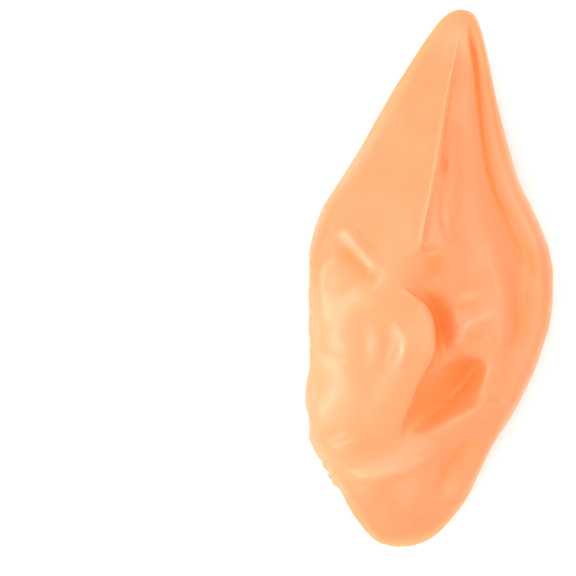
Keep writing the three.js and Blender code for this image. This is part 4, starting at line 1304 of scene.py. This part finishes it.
# %% The dusted inside
def latex_inside():
    material, tree, shader = new_material("latex_inside")
    place = add_node(tree, "ShaderNodeTexCoord").outputs["Object"]
    dust = ranged(tree, noise(tree, place, 120.0, 5.0, 0.65), 0.4, 0.7, 0.0, 0.55)
    tree.links.new(mixed(tree, dust, LATEX_CLOUD_DEEP, POWDER), shader.inputs["Base Color"])
    tree.links.new(latex_bump(tree, place, 0.5), shader.inputs["Normal"])
    shader.inputs["Roughness"].default_value = 0.75
    shader.inputs["Subsurface Weight"].default_value = 0.5
    shader.inputs["Subsurface Radius"].default_value = LIGHT_REACH
    shader.inputs["Subsurface Scale"].default_value = 0.0025
    return material


ear_skin.data.materials.append(latex_face())
ear_skin.data.materials.append(latex_inside())
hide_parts("ear_shell")
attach(ear_skin, "root")
print("Materials:", [material.name for material in ear_skin.data.materials])


# %% [markdown]
# ## Table, light and camera
#
# The picture is high key: a white table, a large soft light from the upper left and an even glow from
# all around, so the shadows stay pale and the folds show by colour more than by darkness. A narrow
# strip and a small card on the left draw the thin highlights along the creases. The camera looks
# straight down from over a metre, as a shop's copy stand does.

# %% The table
TABLE_HALF = 0.9
TABLE_PALE, TABLE_PALEST = (0.945, 0.945, 0.95, 1), (0.97, 0.97, 0.97, 1)


def pale_table(half):
    mesh = bpy.data.meshes.new("table")
    corners = [(-half, -half, 0), (half, -half, 0), (half, half, 0), (-half, half, 0)]
    mesh.from_pydata(corners, [], [(0, 1, 2, 3)])
    table = bpy.data.objects.new("table", mesh)
    bpy.context.scene.collection.objects.link(table)
    material, tree, shader = new_material("table_white")
    place = add_node(tree, "ShaderNodeTexCoord").outputs["Object"]
    paper = mixed(tree, noise(tree, place, 30.0, 2.0), TABLE_PALE, TABLE_PALEST)
    tree.links.new(paper, shader.inputs["Base Color"])
    shader.inputs["Roughness"].default_value = 0.85
    mesh.materials.append(material)
    return table


pale_table(TABLE_HALF)

# %% Soft lights
# name, place, width and height, watts
LIGHTS = [
    ("softbox_left", (-0.48, 0.16, 0.42), (0.36, 0.52), 0.6),
    ("softbox_above", (0.05, 0.10, 0.80), (0.55, 0.55), 1.4),
    ("fill_right", (0.52, -0.22, 0.36), (0.40, 0.40), 0.4),
    ("strip_left", (-0.52, -0.17, 0.34), (0.05, 0.50), 0.8),
    ("card_left", (-0.50, -0.36, 0.42), (0.06, 0.16), 0.35),
]
GLOW_AT_HORIZON = 0.95
GLOW_OVERHEAD = 1.27


def softbox(name, place, size, watts):
    light = bpy.data.lights.new(name, "AREA")
    light.shape = "RECTANGLE"
    light.size, light.size_y = size
    light.energy = watts
    lamp = bpy.data.objects.new(name, light)
    bpy.context.scene.collection.objects.link(lamp)
    lamp.location = place
    lamp.rotation_mode = "QUATERNION"
    lamp.rotation_quaternion = (-Vector(place)).to_track_quat("-Z", "Y")


for name, place, size, watts in LIGHTS:
    softbox(name, place, size, watts)
world = bpy.data.worlds.new("even_glow")
world.use_nodes = True
sky = world.node_tree
looking = add_node(sky, "ShaderNodeTexCoord").outputs["Generated"]
direction = add_node(sky, "ShaderNodeSeparateXYZ", None, _0=looking)
glow = ranged(sky, direction.outputs["Z"], 0.0, 0.9, GLOW_AT_HORIZON, GLOW_OVERHEAD)
sky.nodes["Background"].inputs["Color"].default_value = (1, 1, 1, 1)
sky.links.new(glow, sky.nodes["Background"].inputs["Strength"])
bpy.context.scene.world = world
bpy.context.scene.view_settings.view_transform = "Standard"

# %% The camera
IMAGE_PIXELS = 576
EAR_CENTRE_PIXEL = (429.5, 278.5)
EAR_PIXELS_WIDE = 247.0
EAR_PIXELS_LONG = 541.0
CAMERA_HEIGHT = 1.2
FOCUS_HEIGHT = 0.012
SENSOR = 36.0


def straight_down_camera():
    """Puts the ear where it lies in the photograph: in the right half, a little above the middle."""
    pixel = EAR_WIDTH / EAR_PIXELS_WIDE
    camera = bpy.data.cameras.new("copy_stand")
    camera.sensor_width = SENSOR
    camera.lens = SENSOR * CAMERA_HEIGHT / (IMAGE_PIXELS * pixel)
    stand = bpy.data.objects.new("copy_stand", camera)
    bpy.context.scene.collection.objects.link(stand)
    middle = IMAGE_PIXELS / 2
    x = (middle - EAR_CENTRE_PIXEL[0]) * pixel
    y = (EAR_CENTRE_PIXEL[1] - middle) * EAR_LENGTH / EAR_PIXELS_LONG
    stand.location = (x, y, CAMERA_HEIGHT + FOCUS_HEIGHT)
    bpy.context.scene.camera = stand
    print(f"Camera {CAMERA_HEIGHT} m up, {camera.lens:.0f} mm lens")


straight_down_camera()
